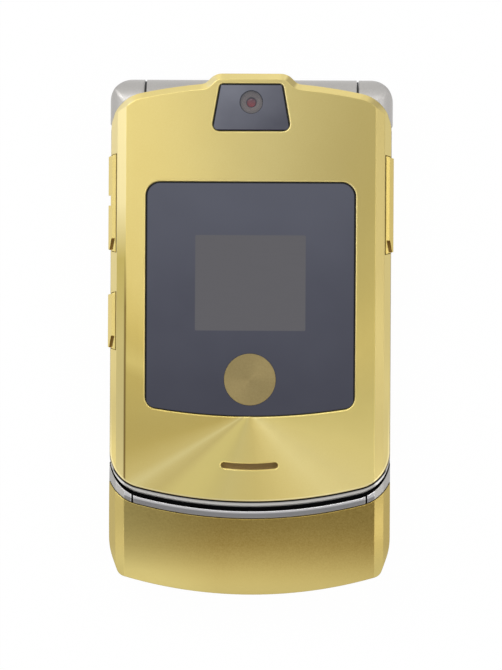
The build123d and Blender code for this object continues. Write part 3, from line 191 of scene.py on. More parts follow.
class Look:
    """One Principled material and the few node kinds that its patterns are made of."""

    def __init__(self, name, **sockets):
        self.material = bpy.data.materials.new(name)
        self.material.use_nodes = True
        self.tree = self.material.node_tree
        self.surface = self.tree.nodes["Principled BSDF"]
        self.coordinates = self.tree.nodes.new("ShaderNodeTexCoord")
        self.place = self.coordinates.outputs["Object"]
        self.set(**sockets)

    def feed(self, socket, value):
        if isinstance(value, bpy.types.NodeSocket):
            self.tree.links.new(value, socket)
        else:
            socket.default_value = value

    def set(self, **sockets):
        """Feed sockets of the shader, named with _ for a space."""
        for socket, value in sockets.items():
            self.feed(self.surface.inputs[socket.replace("_", " ")], value)

    def math(self, operation, *values, clamp=False):
        made = self.tree.nodes.new("ShaderNodeMath")
        made.operation = operation
        made.use_clamp = clamp
        for socket, value in zip(made.inputs, values):
            self.feed(socket, value)
        return made.outputs[0]

    def vector(self, operation, *values):
        made = self.tree.nodes.new("ShaderNodeVectorMath")
        made.operation = operation
        for socket, value in zip(made.inputs, values):
            self.feed(socket, value)
        return made.outputs["Value" if operation == "LENGTH" else "Vector"]

    def axes(self, vector=None):
        made = self.tree.nodes.new("ShaderNodeSeparateXYZ")
        self.feed(made.inputs[0], vector or self.place)
        return made.outputs

    def facing(self, axis):
        """How far the surface faces along an axis of the phone, from -1 to 1."""
        return self.axes(self.coordinates.outputs["Normal"])["XYZ".index(axis)]

    def noise(self, size, detail=2.0, roughness=0.5, stretch=(1, 1, 1), vector=None):
        """Noise with features of a size in millimetres, longer along an axis by its stretch."""
        spread = self.tree.nodes.new("ShaderNodeMapping")
        self.feed(spread.inputs["Vector"], vector or self.place)
        spread.inputs["Scale"].default_value = [1 / share for share in stretch]
        made = self.tree.nodes.new("ShaderNodeTexNoise")
        self.feed(made.inputs["Vector"], spread.outputs[0])
        made.inputs["Scale"].default_value = 1 / (size * MM)
        made.inputs["Detail"].default_value = detail
        made.inputs["Roughness"].default_value = roughness
        return made.outputs["Fac"]

    def swing(self, noise, amount):
        """A noise moved to swing about zero by an amount."""
        return self.math("MULTIPLY", self.math("SUBTRACT", noise, 0.5), amount)

    def waves(self, value, pitch):
        """A sine along a length, with its pitch in millimetres."""
        return self.math("SINE", self.math("MULTIPLY", value, 2 * math.pi / (pitch * MM)))

    def ramp(self, value, stops):
        made = self.tree.nodes.new("ShaderNodeValToRGB")
        fill_ramp(made, stops)
        self.feed(made.inputs[0], value)
        return made.outputs[0]

    def between(self, value, low, high, out_low=0.0, out_high=1.0):
        """A value rescaled from low..high to out_low..out_high and held at their ends."""
        made = self.tree.nodes.new("ShaderNodeMapRange")
        for socket, number in zip(made.inputs, (value, low, high, out_low, out_high)):
            self.feed(socket, number)
        return made.outputs[0]

    def over(self, length, low, high, out_low=0.0, out_high=1.0):
        """The same for a length, with low and high in millimetres."""
        return self.between(length, low * MM, high * MM, out_low, out_high)

    def mix(self, share, first, second):
        made = self.tree.nodes.new("ShaderNodeMix")
        made.data_type = "RGBA"
        self.feed(made.inputs[MIX_SHARE], share)
        self.feed(made.inputs[MIX_FIRST], first)
        self.feed(made.inputs[MIX_SECOND], second)
        return made.outputs[MIX_RESULT]

    def bump(self, height, depth, rounding=0.0):
        """Relief of a depth, over edges that catch light as if rounded, both in millimetres."""
        made = self.tree.nodes.new("ShaderNodeBump")
        made.inputs["Distance"].default_value = depth * MM
        self.feed(made.inputs["Height"], height)
        if rounding:
            soft_edge = self.tree.nodes.new("ShaderNodeBevel")
            soft_edge.samples = BEVEL_SAMPLES
            soft_edge.inputs["Radius"].default_value = rounding * MM
            self.feed(made.inputs["Normal"], soft_edge.outputs[0])
        self.set(Normal=made.outputs[0])

    def both(self, first, second):
        """1 where two masks are both 1."""
        return self.math("MULTIPLY", first, second)

    def above(self, length, limit):
        """1 where a length is more than a limit in millimetres."""
        return self.math("GREATER_THAN", length, limit * MM)

    def below(self, length, limit):
        """1 where a length is less than a limit in millimetres."""
        return self.math("LESS_THAN", length, limit * MM)

    def inside(self, length, low, high):
        """1 where a length lies between two limits in millimetres."""
        return self.both(self.above(length, low), self.below(length, high))

    def within(self, distance, radius, soft):
        """1 nearer than a radius in millimetres, 0 farther, over a soft edge to each side."""
        return self.over(distance, radius - soft, radius + soft, 1.0, 0.0)

    def length(self, x, y):
        """The length of a flat vector."""
        squares = [self.math("MULTIPLY", side, side) for side in (x, y)]
        return self.math("SQRT", self.math("ADD", *squares))

    def inside_box(self, low, high, radius, soft):
        """1 inside a rounded rectangle given in millimetres on the X and Y axes, 0 outside."""
        reach = []
        for axis, start, end in zip(self.axes(), low, high):
            from_middle = self.math("ABSOLUTE", self.math("SUBTRACT", axis, (start + end) / 2 * MM))
            past = self.math("SUBTRACT", from_middle, ((end - start) / 2 - radius) * MM)
            reach.append(self.math("MAXIMUM", past, 0.0))
        return self.within(self.length(*reach), radius, soft)

    def from_point(self, x, y):
        """The flat vector from a point given in millimetres on the X and Y axes."""
        flat = self.vector("MULTIPLY", self.place, (1, 1, 0))
        return self.vector("SUBTRACT", flat, (x * MM, y * MM, 0))

    def distance(self, x, y):
        """The flat distance from such a point."""
        return self.vector("LENGTH", self.from_point(x, y))

    def line(self, distance):
        """A vector that changes only with a distance, for rings."""
        made = self.tree.nodes.new("ShaderNodeCombineXYZ")
        self.feed(made.inputs["X"], distance)
        return made.outputs[0]

    def from_free_edge(self):
        """Distance outside the lid cover's bowed free edge and rounded corners, negative inside."""
        x, y, _ = self.axes()
        bow = self.math("SUBTRACT", self.distance(0, EDGE_BOW_Y), EDGE_BOW * MM)
        corner_x = EDGE_HALF_WIDTH - EDGE_CORNER
        drop = math.sqrt((EDGE_BOW - EDGE_CORNER) ** 2 - corner_x ** 2)
        across = self.math("SUBTRACT", self.math("ABSOLUTE", x), corner_x * MM)
        down = self.math("SUBTRACT", y, (EDGE_BOW_Y - drop) * MM)
        past = self.math("ADD", across, self.math("MULTIPLY", down, corner_x / drop))
        across = self.math("MAXIMUM", across, 0.0)
        down = self.math("MINIMUM", down, 0.0)
        corner = self.math("SUBTRACT", self.length(across, down), EDGE_CORNER * MM)
        share = self.math("GREATER_THAN", past, 0.0)
        return self.between(share, 0.0, 1.0, bow, corner)


# ---------------------------------------------------------------------------
# The brushed lid
# ---------------------------------------------------------------------------

# Levels of the fan of painted highlight rays round the spun centre, by degrees from +X towards +Y, set to
# match the photo.
PAINTED_HIGHLIGHT_RAYS = [
    (-180, 0.24), (-163, 0.26), (-152, 0.52), (-148, 0.92), (-144, 0.62), (-139, 0.54), (-132, 0.64),
    (-126, 0.78), (-117, 0.60), (-106, 0.72), (-96, 0.56), (-84, 0.46), (-72, 0.50), (-60, 0.60),
    (-46, 0.80), (-32, 0.72), (-14, 0.60), (0, 0.42), (18, 0.36), (32, 0.30), (43, 0.28), (58, 0.38),
    (70, 0.55), (84, 0.70), (100, 0.62), (114, 0.56), (128, 0.46), (145, 0.26), (160, 0.24), (180, 0.24),
]
# A warmer, brighter painted highlight laid over that fan, so that its darker rays stay saturated.
PAINTED_HIGHLIGHT_LIFTS = [
    (-180, 0.2), (-166, 0.05), (-140, 0.05), (-133, 0.75), (-126, 0.95), (-120, 0.9), (-108, 0.45),
    (-74, 0.0), (-34, 0.0), (-18, 0.4), (2, 0.62), (22, 0.3), (54, 0.33), (70, 0.0), (150, 0.1),
    (157, 0.45), (163, 0.1), (180, 0.2),
]
# Painted light on the left shallow facet, by the share of the way from its start to its end.
LEFT_SHALLOW_PAINTED_TONES = [
    (0.0, 0.55), (0.25, 0.5), (0.42, 0.3), (0.52, 0.1), (0.63, 0.0), (0.7, 0.5), (0.78, 0.95), (1.0, 1.0),
]
# How far a surface faces sideways, or towards the hinge for the last, where a mask starts and is full.
SHALLOW_FACING = (0.3, 0.45)
STEEP_FACING = (0.55, 0.7)
FLANK_FACING = (0.25, 0.4)
INNER_FACING = (0.2, 0.4)


def fan_of_rays(look, offset, grain):
    """Painted highlight rays round the spun centre, with the brushing's grain and a slow drift of tone."""
    x, y = look.axes(offset)[:2]
    turn = look.math("ARCTAN2", y, x)
    share = look.math("ADD", look.math("DIVIDE", turn, 2 * math.pi), 0.5)
    fan, lift = (
        look.ramp(share, [((angle + 180) / 360, level) for angle, level in stops])
        for stops in (PAINTED_HIGHLIGHT_RAYS, PAINTED_HIGHLIGHT_LIFTS)
    )
    level = look.math("ADD", fan, look.swing(grain, 0.22))
    level = look.math("ADD", level, look.swing(look.noise(9.0), 0.12), clamp=True)
    return look.mix(lift, look.mix(level, GOLD_FAN_SHADED, GOLD_FAN_LIT), GOLD_PAINTED_HIGHLIGHT)


def lid_facets(look, colour):
    """Lay the painted light and shade of the two facets down each side over a colour, the shallow facets
    first.
    """
    y = look.axes()[1]
    along = look.over(y, *LEFT_PAINTED_LIGHT_Y)
    left_shallow = look.mix(look.ramp(along, LEFT_SHALLOW_PAINTED_TONES), *LEFT_SHALLOW_PAINTED_LIGHT)
    right_shallow = look.mix(look.over(y, *RIGHT_PAINTED_LIGHT_Y), *RIGHT_SHALLOW_PAINTED_LIGHT)
    left_steep = look.mix(along, *LEFT_STEEP_PAINTED_LIGHT)
    facing = look.facing("X")
    facets = (
        (-1, SHALLOW_FACING, left_shallow),
        (1, SHALLOW_FACING, right_shallow),
        (-1, STEEP_FACING, left_steep),
        (1, STEEP_FACING, RIGHT_STEEP_PAINTED_LIGHT),
    )
    for side, (start, full), tone in facets:
        colour = look.mix(look.between(facing, side * start, side * full), colour, tone)
    return colour


def lid_lines(look, colour):
    """Lay painted shade along the left crease, and the free end's painted highlight and painted shade
    lines, over a colour.
    """
    x, y, z = look.axes()
    from_crease = look.math("ABSOLUTE", look.math("SUBTRACT", x, CREASE_SHADE_X * MM))
    crease = look.both(look.over(from_crease, *CREASE_SIDES), look.over(y, *CREASE_FADE_Y))
    colour = look.mix(look.math("MULTIPLY", crease, 0.95), colour, GOLD_SHADE)
    outside = look.from_free_edge()
    free_end = look.both(look.over(y, *FREE_END_Y), look.over(z, *FREE_END_Z))
    painted_edge_highlight = look.both(look.over(outside, *EDGE_HIGHLIGHT_LINE), free_end)
    colour = look.mix(look.math("MULTIPLY", painted_edge_highlight, 0.8), colour, GOLD_EDGE_HIGHLIGHT)
    painted_edge_shade = look.both(look.over(outside, *EDGE_SHADE_LINE), free_end)
    return look.mix(painted_edge_shade, colour, GOLD_SHADE)


def spun_gold():
    """Satin gold whose circular brushing throws soft rays of real anisotropic shine, with a fan of painted
    highlight rays in its colour as well.
    """
    look = Look("gold_spun", Metallic=1.0, Anisotropic=0.82, Coat_Weight=0.25, Coat_Roughness=0.22)
    offset = look.from_point(*SPUN_CENTRE)
    grain = look.noise(0.22, detail=3.0, roughness=0.6)
    colour = lid_facets(look, fan_of_rays(look, offset, grain))
    look.set(Base_Color=lid_lines(look, colour))
    rings = look.noise(0.06, vector=look.line(look.vector("LENGTH", offset)))
    look.set(Roughness=look.between(rings, 0.3, 0.7, 0.36, 0.42))
    look.bump(look.math("ADD", rings, grain), 0.0022, rounding=0.25)
    radial = look.tree.nodes.new("ShaderNodeVectorTransform")
    radial.vector_type = "VECTOR"
    radial.convert_from, radial.convert_to = "OBJECT", "WORLD"
    look.feed(radial.inputs[0], look.vector("NORMALIZE", offset))
    look.set(Tangent=radial.outputs[0])
    return look.material


# ---------------------------------------------------------------------------
# Masks for the painted pieces
# ---------------------------------------------------------------------------


def groove_floor(look):
    """Painted shade on the floor of the groove round the lid's free end."""
    _, y, z = look.axes()
    return look.both(look.inside(z, *GROOVE_FLOOR), look.below(y, GROOVE_START_Y))


def free_end_rim(look):
    """The silver rim round the lid's free end."""
    return look.above(look.axes()[2], RIM_LOW)


def free_end_seam(look):
    """Painted shade in the joint between the lid cover and that rim."""
    return look.both(look.over(look.from_free_edge(), *SEAM_SHADE), free_end_rim(look))


def key_slots(look):
    """Painted shade inside the slots at the lower ends of the side keys."""
    x, y, z = look.axes()
    across = look.both(look.inside(look.math("ABSOLUTE", x), *SLOT_SIDE), look.below(z, SLOT_TOP))
    along = look.math("ADD", *(look.inside(y, low, high) for low, high in SLOT_SPANS))
    return look.both(across, along)


def chin_sheen(look):
    """Painted light on the chin: paler towards its tip, its left side and its right facets."""
    x, y, _ = look.axes()
    tip = look.over(y, *CHIN_TIP_Y, 0.0, 0.8)
    left = look.over(x, *CHIN_LEFT_X, 0.0, 0.7)
    right_facet = look.between(look.facing("X"), *SHALLOW_FACING, 0.0, 0.4)
    return look.math("ADD", look.math("ADD", tip, left), right_facet, clamp=True)


def trim_edge(look):
    """Painted highlight on the edge of the chin's trim next to the groove."""
    return look.over(look.from_free_edge(), *HIGHLIGHT_REACH)


def trim_flank(look):
    """The slanted ends of the chin's trim, kept free of that painted highlight."""
    return look.between(look.math("ABSOLUTE", look.facing("X")), *FLANK_FACING)


def trim_inner_side(look):
    """Painted shade on the side of the chin's trim that faces the lid."""
    return look.between(look.facing("Y"), *INNER_FACING)


# ---------------------------------------------------------------------------
# Looks of the other pieces
# ---------------------------------------------------------------------------


def painted_metal(name, dark, light, roughness, metallic=1.0, rounding=0.25, flake=0.16, masks=()):
    """Metallic paint with fine flakes and a faint orange-peel skin; masks are (mask, colour)."""
    look = Look(name, Metallic=metallic, Coat_Weight=0.2, Coat_Roughness=0.2)
    flakes = look.noise(flake, detail=3.0, roughness=0.65)
    drift = look.noise(7.0)
    shares = look.math("MULTIPLY", flakes, 0.85), look.math("MULTIPLY", drift, 0.15)
    level = look.math("ADD", *shares, clamp=True)
    colour = look.mix(look.between(level, 0.3, 0.7), dark, light)
    for mask, masked in masks:
        colour = look.mix(mask(look), colour, masked)
    look.set(Base_Color=colour)
    look.set(Roughness=look.between(flakes, 0.25, 0.75, roughness - 0.04, roughness + 0.05))
    look.bump(look.math("ADD", flakes, look.noise(0.9, detail=1.0)), 0.003, rounding)
    return look.material


def machined_metal(name, colour, roughness):
    """Bare metal with fine lines drawn along X."""
    look = Look(name, Metallic=1.0)
    lines = look.noise(0.12, detail=3.0, roughness=0.6, stretch=(8, 1, 1))
    stain = look.noise(2.5, detail=3.0)
    look.set(Base_Color=look.mix(look.between(stain, 0.3, 0.7), dimmed(colour, 0.72), colour))
    look.set(Roughness=look.between(lines, 0.25, 0.75, roughness - 0.07, roughness + 0.1))
    look.bump(lines, 0.004)
    return look.material


def moulded(name, colour, roughness, texture=0.25, depth=0.006):
    """Moulded plastic or rubber with an eroded grain."""
    look = Look(name)
    grain = look.noise(texture, detail=4.0, roughness=0.65)
    pale = (*(level * 1.35 + 0.004 for level in colour[:3]), 1.0)
    look.set(Base_Color=look.mix(look.between(grain, 0.35, 0.75), colour, pale))
    look.set(Roughness=look.between(grain, 0.25, 0.75, roughness - 0.06, roughness + 0.08))
    look.bump(grain, depth)
    return look.material


def printed_glass():
    """Tinted glass printed from behind, with a painted reflection making the print paler towards the hinge,
    and the paler display area showing through.
    """
    look = Look("glass_outer", IOR=1.5, Roughness=0.04)
    y = look.axes()[1]
    cloud = look.between(look.noise(14.0), 0.3, 0.7, -0.1, 0.1)
    painted_reflection_and_cloud = look.math("ADD", look.over(y, -15, 29), cloud)
    print_and_painted_reflection = look.mix(painted_reflection_and_cloud, GLASS_PRINT, GLASS_PRINT_REFLECTION)
    rows = look.noise(0.1, detail=1.0, stretch=(60, 1, 1))
    panel = look.mix(rows, dimmed(GLASS_DISPLAY, 0.93), GLASS_DISPLAY)
    display = look.inside_box(*inset("outer_display", DISPLAY_FRAME), DISPLAY_CORNER, 0.06)
    colour = look.mix(display, print_and_painted_reflection, panel)
    # A black border round the edge: painted shade where the glass meets the cover.
    low_y = corners("cover_glass")[0][1]
    (left, lower), upper_right = inset("cover_glass", GLASS_SHADE_BORDER)
    top_and_sides = look.inside_box((left, lower - GLASS_BOW), upper_right, GLASS_CORNER, 0.06)
    bowed_end = look.within(look.distance(0, low_y + GLASS_BOW), GLASS_BOW - GLASS_LOW_SHADE_BORDER, 0.06)
    look.set(Base_Color=look.mix(look.both(top_and_sides, bowed_end), BLACK, colour))
    smudges = look.noise(5.0, detail=4.0, roughness=0.6)
    look.set(Roughness=look.between(smudges, 0.3, 0.8, 0.03, 0.09))
    look.bump(look.noise(6.0, detail=1.0), 0.002)
    return look.material


def camera_glass():
    """The same tinted glass with a painted reflection, paler towards the hinge and the left, left clear in
    a round over the camera.
    """
    look = Look("glass_camera", IOR=1.5)
    x, y, _ = look.axes()
    # Painted reflection: the tone grows paler towards the hinge and the left.
    slant = look.math("SUBTRACT", y, look.math("MULTIPLY", x, 0.7))
    cloud = look.between(look.noise(5.0), 0.3, 0.7, -0.1, 0.1)
    painted_reflection_and_cloud = look.math("ADD", look.over(slant, 36, 49), cloud)
    tone = look.mix(painted_reflection_and_cloud, linear(76, 77, 87), linear(112, 114, 124))
    low_y, high_y = (corner[1] for corner in corners("camera_window"))
    half_widths = WINDOW_HALF_WIDTH_LOW * MM, WINDOW_HALF_WIDTH_HIGH * MM
    past_side = look.math("SUBTRACT", look.math("ABSOLUTE", x), look.over(y, low_y, high_y, *half_widths))
    from_middle = look.math("ABSOLUTE", look.math("SUBTRACT", y, (low_y + high_y) / 2 * MM))
    past_end = look.math("SUBTRACT", from_middle, (high_y - low_y) / 2 * MM)
    border = look.over(look.math("MAXIMUM", past_side, past_end), -0.3, -0.18)
    look.set(Base_Color=look.mix(border, tone, BLACK))
    smudges = look.noise(4.0, detail=4.0)
    look.set(Roughness=look.between(smudges, 0.3, 0.8, 0.03, 0.08))
    clear = look.within(look.distance(*centre("camera_lens")[:2]), CLEAR_RADIUS, 0.06)
    look.set(Alpha=look.between(clear, 0.0, 1.0, 1.0, 0.25))
    look.bump(look.noise(6.0, detail=1.0), 0.001)
    return look.material


def inner_glass():
    """The lens over the main display: a black printed border round a clear window."""
    look = Look("glass_inner", IOR=1.5)
    window = look.inside_box(*inset("main_display", INNER_LENS_BORDER), INNER_LENS_CORNER, 0.05)
    dust = look.noise(3.0, detail=4.0, roughness=0.6)
    look.set(Base_Color=look.mix(dust, linear(13, 13, 15), linear(18, 18, 21)))
    look.set(Roughness=look.between(dust, 0.3, 0.8, 0.03, 0.06))
    look.set(Alpha=look.between(window, 0.0, 1.0, 1.0, 0.12))
    look.bump(look.noise(9.0, detail=1.0), 0.0003)
    return look.material


def display_panel():
    """A liquid crystal panel that is switched off: deep grey cells."""
    look = Look("display_panel", IOR=1.5)
    columns, rows = (look.waves(axis, DISPLAY_PITCH) for axis in look.axes()[:2])
    cells = look.between(look.math("ADD", rows, columns), -2.0, 2.0)
    look.set(Base_Color=look.mix(cells, linear(45, 49, 56), linear(52, 57, 64)))
    look.set(Roughness=look.between(look.noise(2.0, detail=3.0), 0.3, 0.7, 0.22, 0.30))
    look.bump(look.noise(1.5), 0.0006)
    return look.material


def spun_disc():
    """A small disc with fine turned rings."""
    look = Look("disc_spun", Metallic=1.0, Anisotropic=0.4)
    distance = look.distance(*centre("emblem_disc")[:2])
    rings = look.noise(0.08, vector=look.line(distance))
    look.set(Base_Color=look.mix(look.noise(0.3), linear(164, 145, 98), linear(182, 164, 116)))
    look.set(Roughness=look.between(rings, 0.3, 0.7, 0.38, 0.46))
    look.bump(rings, 0.002)
    return look.material


def camera_barrel():
    """Black moulding with a paler ring round the lens."""
    look = Look("camera_barrel")
    distance = look.distance(*centre("camera_lens")[:2])
    outer, inner = (look.within(distance, radius, 0.05) for radius in (RING_OUTER, RING_INNER))
    ring = look.math("SUBTRACT", outer, inner, clamp=True)
    grain = look.noise(0.2, detail=3.0)
    black = look.mix(grain, linear(22, 22, 23), linear(34, 34, 35))
    pale = look.mix(grain, linear(178, 168, 160), linear(196, 186, 178))
    look.set(Base_Color=look.mix(ring, black, pale))
    look.set(Roughness=look.between(grain, 0.3, 0.7, 0.36, 0.5))
    look.bump(grain, 0.004)
    return look.material


def coated_lens():
    """A glass bead with a red coating that turns to a dull violet towards the hinge."""
    look = Look("lens_coated", IOR=1.6, Coat_Weight=1.0, Coat_Roughness=0.02)
    middle_y = centre("camera_lens")[1]
    hinge_ward = look.over(look.axes()[1], middle_y - 0.52, middle_y + 0.88)
    look.set(Base_Color=look.mix(hinge_ward, linear(214, 70, 60), linear(120, 74, 84)))
    look.set(Roughness=look.between(look.noise(0.5), 0.3, 0.7, 0.05, 0.1))
    look.bump(look.noise(1.0, detail=1.0), 0.0005)
    return look.material


def woven_mesh():
    """Fine brown-gold gauze."""
    look = Look("mesh_woven", Metallic=0.5)
    warp, weft = (look.waves(axis, WEAVE_PITCH) for axis in look.axes()[:2])
    weave = look.between(look.math("MULTIPLY", warp, weft), -1.0, 1.0)
    look.set(Base_Color=look.mix(weave, linear(110, 90, 48), linear(150, 128, 90)))
    look.set(Roughness=look.between(weave, 0.0, 1.0, 0.62, 0.48))
    look.bump(weave, 0.02)
    return look.material


def circuit_board():
    """Green solder mask over a pattern of tracks."""
    look = Look("board_mask", IOR=1.5)
    tracks = look.tree.nodes.new("ShaderNodeTexBrick")
    tracks.inputs["Scale"].default_value = tracks.inputs["Brick Width"].default_value / (TRACK_LENGTH * MM)
    tracks.inputs["Mortar Size"].default_value = 0.04
    tracks.inputs["Color1"].default_value = linear(16, 66, 48)
    tracks.inputs["Color2"].default_value = linear(20, 76, 54)
    tracks.inputs["Mortar"].default_value = linear(52, 118, 80)
    look.feed(tracks.inputs["Vector"], look.place)
    grain = look.noise(0.3, detail=3.0)
    stain = look.between(grain, 0.3, 0.7, 0.0, 0.25)
    look.set(Base_Color=look.mix(stain, tracks.outputs["Color"], linear(12, 52, 40)))
    look.set(Roughness=look.between(grain, 0.3, 0.7, 0.3, 0.42))
    look.bump(tracks.outputs["Fac"], 0.02)
    return look.material


def battery_wrap():
    """Grey shrink wrap with a pale bare label."""
    look = Look("battery_wrap")
    label = look.inside_box(LABEL_LOW, LABEL_HIGH, LABEL_CORNER, 0.05)
    crease = look.noise(1.4, detail=4.0, roughness=0.6)
    wrap = look.mix(crease, linear(52, 54, 58), linear(70, 72, 76))
    paper = look.mix(crease, linear(196, 198, 200), linear(212, 213, 214))
    look.set(Base_Color=look.mix(label, wrap, paper))
    look.set(Roughness=look.between(crease, 0.3, 0.7, 0.36, 0.5))
    look.bump(crease, 0.02)
    return look.material


def legend_ink():
    """Dark translucent filling of the key symbols."""
    look = Look("legend_fill", IOR=1.5)
    grain = look.noise(0.15)
    look.set(Base_Color=look.mix(grain, linear(38, 44, 56), linear(52, 60, 74)))
    look.set(Roughness=look.between(grain, 0.3, 0.7, 0.34, 0.46))
    look.bump(grain, 0.002)
    return look.material


def dome_film():
    """Clear film printed pale, over metal snap domes."""
    look = Look("dome_film", Metallic=0.4)
    grain = look.noise(0.5, detail=3.0)
    look.set(Base_Color=look.mix(grain, linear(168, 170, 168), linear(196, 198, 196)))
    look.set(Roughness=look.between(grain, 0.3, 0.7, 0.3, 0.42))
    look.bump(grain, 0.006)
    return look.material


# ---------------------------------------------------------------------------
# Every CAD node gets its look
# ---------------------------------------------------------------------------

# Masks that paint light and shade: shade in the key slots, light on the chin, a paler rim with shade in its
# joint, shade in the groove, a highlight and shade on the trim.
KEY_SLOT_SHADE_MASKS = [(key_slots, GOLD_SLOT_SHADE)]
CHIN_LIGHT_MASKS = [(chin_sheen, GOLD_CHIN_PAINTED_LIGHT)]
RIM_LIGHT_AND_SHADE_MASKS = [(free_end_rim, SILVER_RIM_PAINTED_LIGHT), (free_end_seam, BLACK)]
GROOVE_SHADE_MASKS = [(groove_floor, BLACK)]
TRIM_LIGHT_AND_SHADE_MASKS = [(trim_edge, TRIM_HIGHLIGHT), (trim_flank, TRIM_FLANK), (trim_inner_side, BLACK)]

looks = {
    "gold_spun": spun_gold(),
    "gold_paint": painted_metal(
        "gold_paint", linear(165, 140, 68), linear(190, 168, 96), 0.36, flake=0.3,
    ),
    "gold_key": painted_metal(
        "gold_key", linear(218, 196, 116), linear(232, 212, 138), 0.34, masks=KEY_SLOT_SHADE_MASKS,
    ),
    # The voice key has the same paint as the other keys, painted darker as painted shade.
    "voice_key": painted_metal(
        "gold_voice_key", linear(200, 177, 98), linear(212, 190, 112), 0.36, masks=KEY_SLOT_SHADE_MASKS,
    ),
    "chin_paint": painted_metal(
        "chin_paint", linear(160, 134, 66), linear(178, 154, 86), 0.36, flake=0.3, masks=CHIN_LIGHT_MASKS,
    ),
    "silver_paint": painted_metal(
        "silver_paint", SILVER_DARK, SILVER, 0.4, metallic=0.85, rounding=0.15, masks=RIM_LIGHT_AND_SHADE_MASKS,
    ),
    "silver_frame": painted_metal(
        "silver_frame", SILVER_DARK, SILVER, 0.4, metallic=0.85, rounding=0.9, masks=GROOVE_SHADE_MASKS,
    ),
    "trim_paint": painted_metal(
        "trim_paint", TRIM_DARK, TRIM_LIGHT, 0.34, metallic=0.85, rounding=0.3, masks=TRIM_LIGHT_AND_SHADE_MASKS,
    ),
    "keys": painted_metal(
        "keys_nickel", linear(146, 145, 144), linear(166, 165, 163), 0.46, metallic=0.9,
    ),
    "glass_outer": printed_glass(),
    "glass_camera": camera_glass(),
    "glass_inner": inner_glass(),
    "disc_spun": spun_disc(),
    "black_moulded": moulded("black_moulded", linear(24, 24, 26), 0.46),
    "rubber": moulded("rubber_moulded", linear(58, 58, 60), 0.62, texture=0.3, depth=0.01),
    "camera_barrel": camera_barrel(),
    "lens_coated": coated_lens(),
    "mesh_woven": woven_mesh(),
    "display_panel": display_panel(),
    "board_mask": circuit_board(),
    "dome_film": dome_film(),
    "steel": machined_metal("steel_drawn", linear(190, 190, 192), 0.3),
    "brass": machined_metal("brass_drawn", linear(206, 170, 96), 0.28),
    "battery": battery_wrap(),
    "legend": legend_ink(),
}

NODES_BY_LOOK = {
    "gold_spun": ["flip_cover"],
    "gold_paint": ["rear_housing", "battery_door", "door_latch"],
    "gold_key": ["volume_rocker", "smart_key"],
    "voice_key": ["voice_key"],
    "chin_paint": ["chin_cover"],
    "silver_paint": ["flip_inner_housing"],
    "silver_frame": ["base_frame"],
    "trim_paint": ["chin_trim"],
    "keys": [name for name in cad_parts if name.startswith("key_")],
    "glass_outer": ["cover_glass"],
    "glass_camera": ["camera_window"],
    "glass_inner": ["inner_lens"],
    "disc_spun": ["emblem_disc"],
    "black_moulded": ["loudspeaker", "battery_contacts", "microphone", "hinge_cam", "hinge_sleeve"],
    "rubber": ["bumper_pads"],
    "camera_barrel": ["camera_module"],
    "lens_coated": ["camera_lens"],
    "mesh_woven": ["speaker_mesh"],
    "display_panel": ["outer_display", "main_display"],
    "board_mask": ["flip_board", "main_board"],
    "dome_film": ["dome_sheet"],
    "steel": [
        "vibration_motor", "flip_screws", "base_screws", "hinge_cartridge",
        "shield_can", "usb_socket", "sim_holder",
    ],
    "brass": ["antenna"],
    "battery": ["battery"],
}
for look_name, node_names in NODES_BY_LOOK.items():
    for node_name in node_names:
        for material_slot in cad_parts[node_name].material_slots:
            material_slot.material = looks[look_name]

# ---------------------------------------------------------------------------
# Key symbols, drawn in millimetres about the middle of their key
# ---------------------------------------------------------------------------

SYMBOL_RISE = 0.02
FIGURE_HEIGHT = 2.9
FONT_SIZE_PER_HEIGHT = 1.4
ARROW = [(7.6, 0), (6.7, 0.7), (6.7, -0.7)]  # on the ring, pointing along +X


def mesh_piece(name, mesh, body, look):
    piece = bpy.data.objects.new(name, mesh)
    bpy.context.scene.collection.objects.link(piece)
    mesh.materials.clear()
    mesh.materials.append(looks[look])
    for polygon in mesh.polygons:
        polygon.use_smooth = False
    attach(piece, body)


def key_top(name):
    """The middle of a key's top."""
    x, y, _ = centre(name)
    return x, y, corners(name)[1][2]


def flat_shape(outlines, low, high):
    """Thin plates from closed outlines in millimetres, between two heights."""
    made = bmesh.new()
    for outline in outlines:
        bottom, top = (
            [made.verts.new((x * MM, y * MM, height * MM)) for x, y in outline] for height in (low, high)
        )
        count = len(outline)
        for i in range(count):
            j = (i + 1) % count
            made.faces.new((bottom[i], bottom[j], top[j], top[i]))
        made.faces.new(top)
        made.faces.new(bottom[::-1])
    bmesh.ops.recalc_face_normals(made, faces=made.faces)
    mesh = bpy.data.meshes.new("flat_shape")
    made.to_mesh(mesh)
    made.free()
    return mesh


def character(text, x, y, z):
    """A figure as a thin plate, centred at x, y and standing on z."""
    curve = bpy.data.curves.new("figure", "FONT")
    curve.body = text
    curve.size = FIGURE_HEIGHT * FONT_SIZE_PER_HEIGHT * MM
    curve.align_x, curve.align_y = "CENTER", "CENTER"
    curve.extrude = SYMBOL_RISE / 2 * MM
    source = bpy.data.objects.new("figure_source", curve)
    bpy.context.scene.collection.objects.link(source)
    depsgraph = bpy.context.evaluated_depsgraph_get()
    mesh = bpy.data.meshes.new_from_object(source.evaluated_get(depsgraph))
    bpy.data.objects.remove(source)
    xs = [vertex.co.x for vertex in mesh.vertices]
    ys = [vertex.co.y for vertex in mesh.vertices]
    middle = Vector(((min(xs) + max(xs)) / 2, (min(ys) + max(ys)) / 2, 0))
    place = Vector((x, y, z + SYMBOL_RISE / 2)) * MM
    mesh.transform(Matrix.Translation(place - middle))
    return mesh


def stroke(points, width):
    """The outline of a line of a given width through the points."""
    left, right = [], []
    for i, point in enumerate(points):
        before = Vector(points[max(i - 1, 0)])
        after = Vector(points[min(i + 1, len(points) - 1)])
        side = (after - before).normalized().orthogonal() * width / 2
        left.append(tuple(Vector(point) + side))
        right.append(tuple(Vector(point) - side))
    return left + right[::-1]


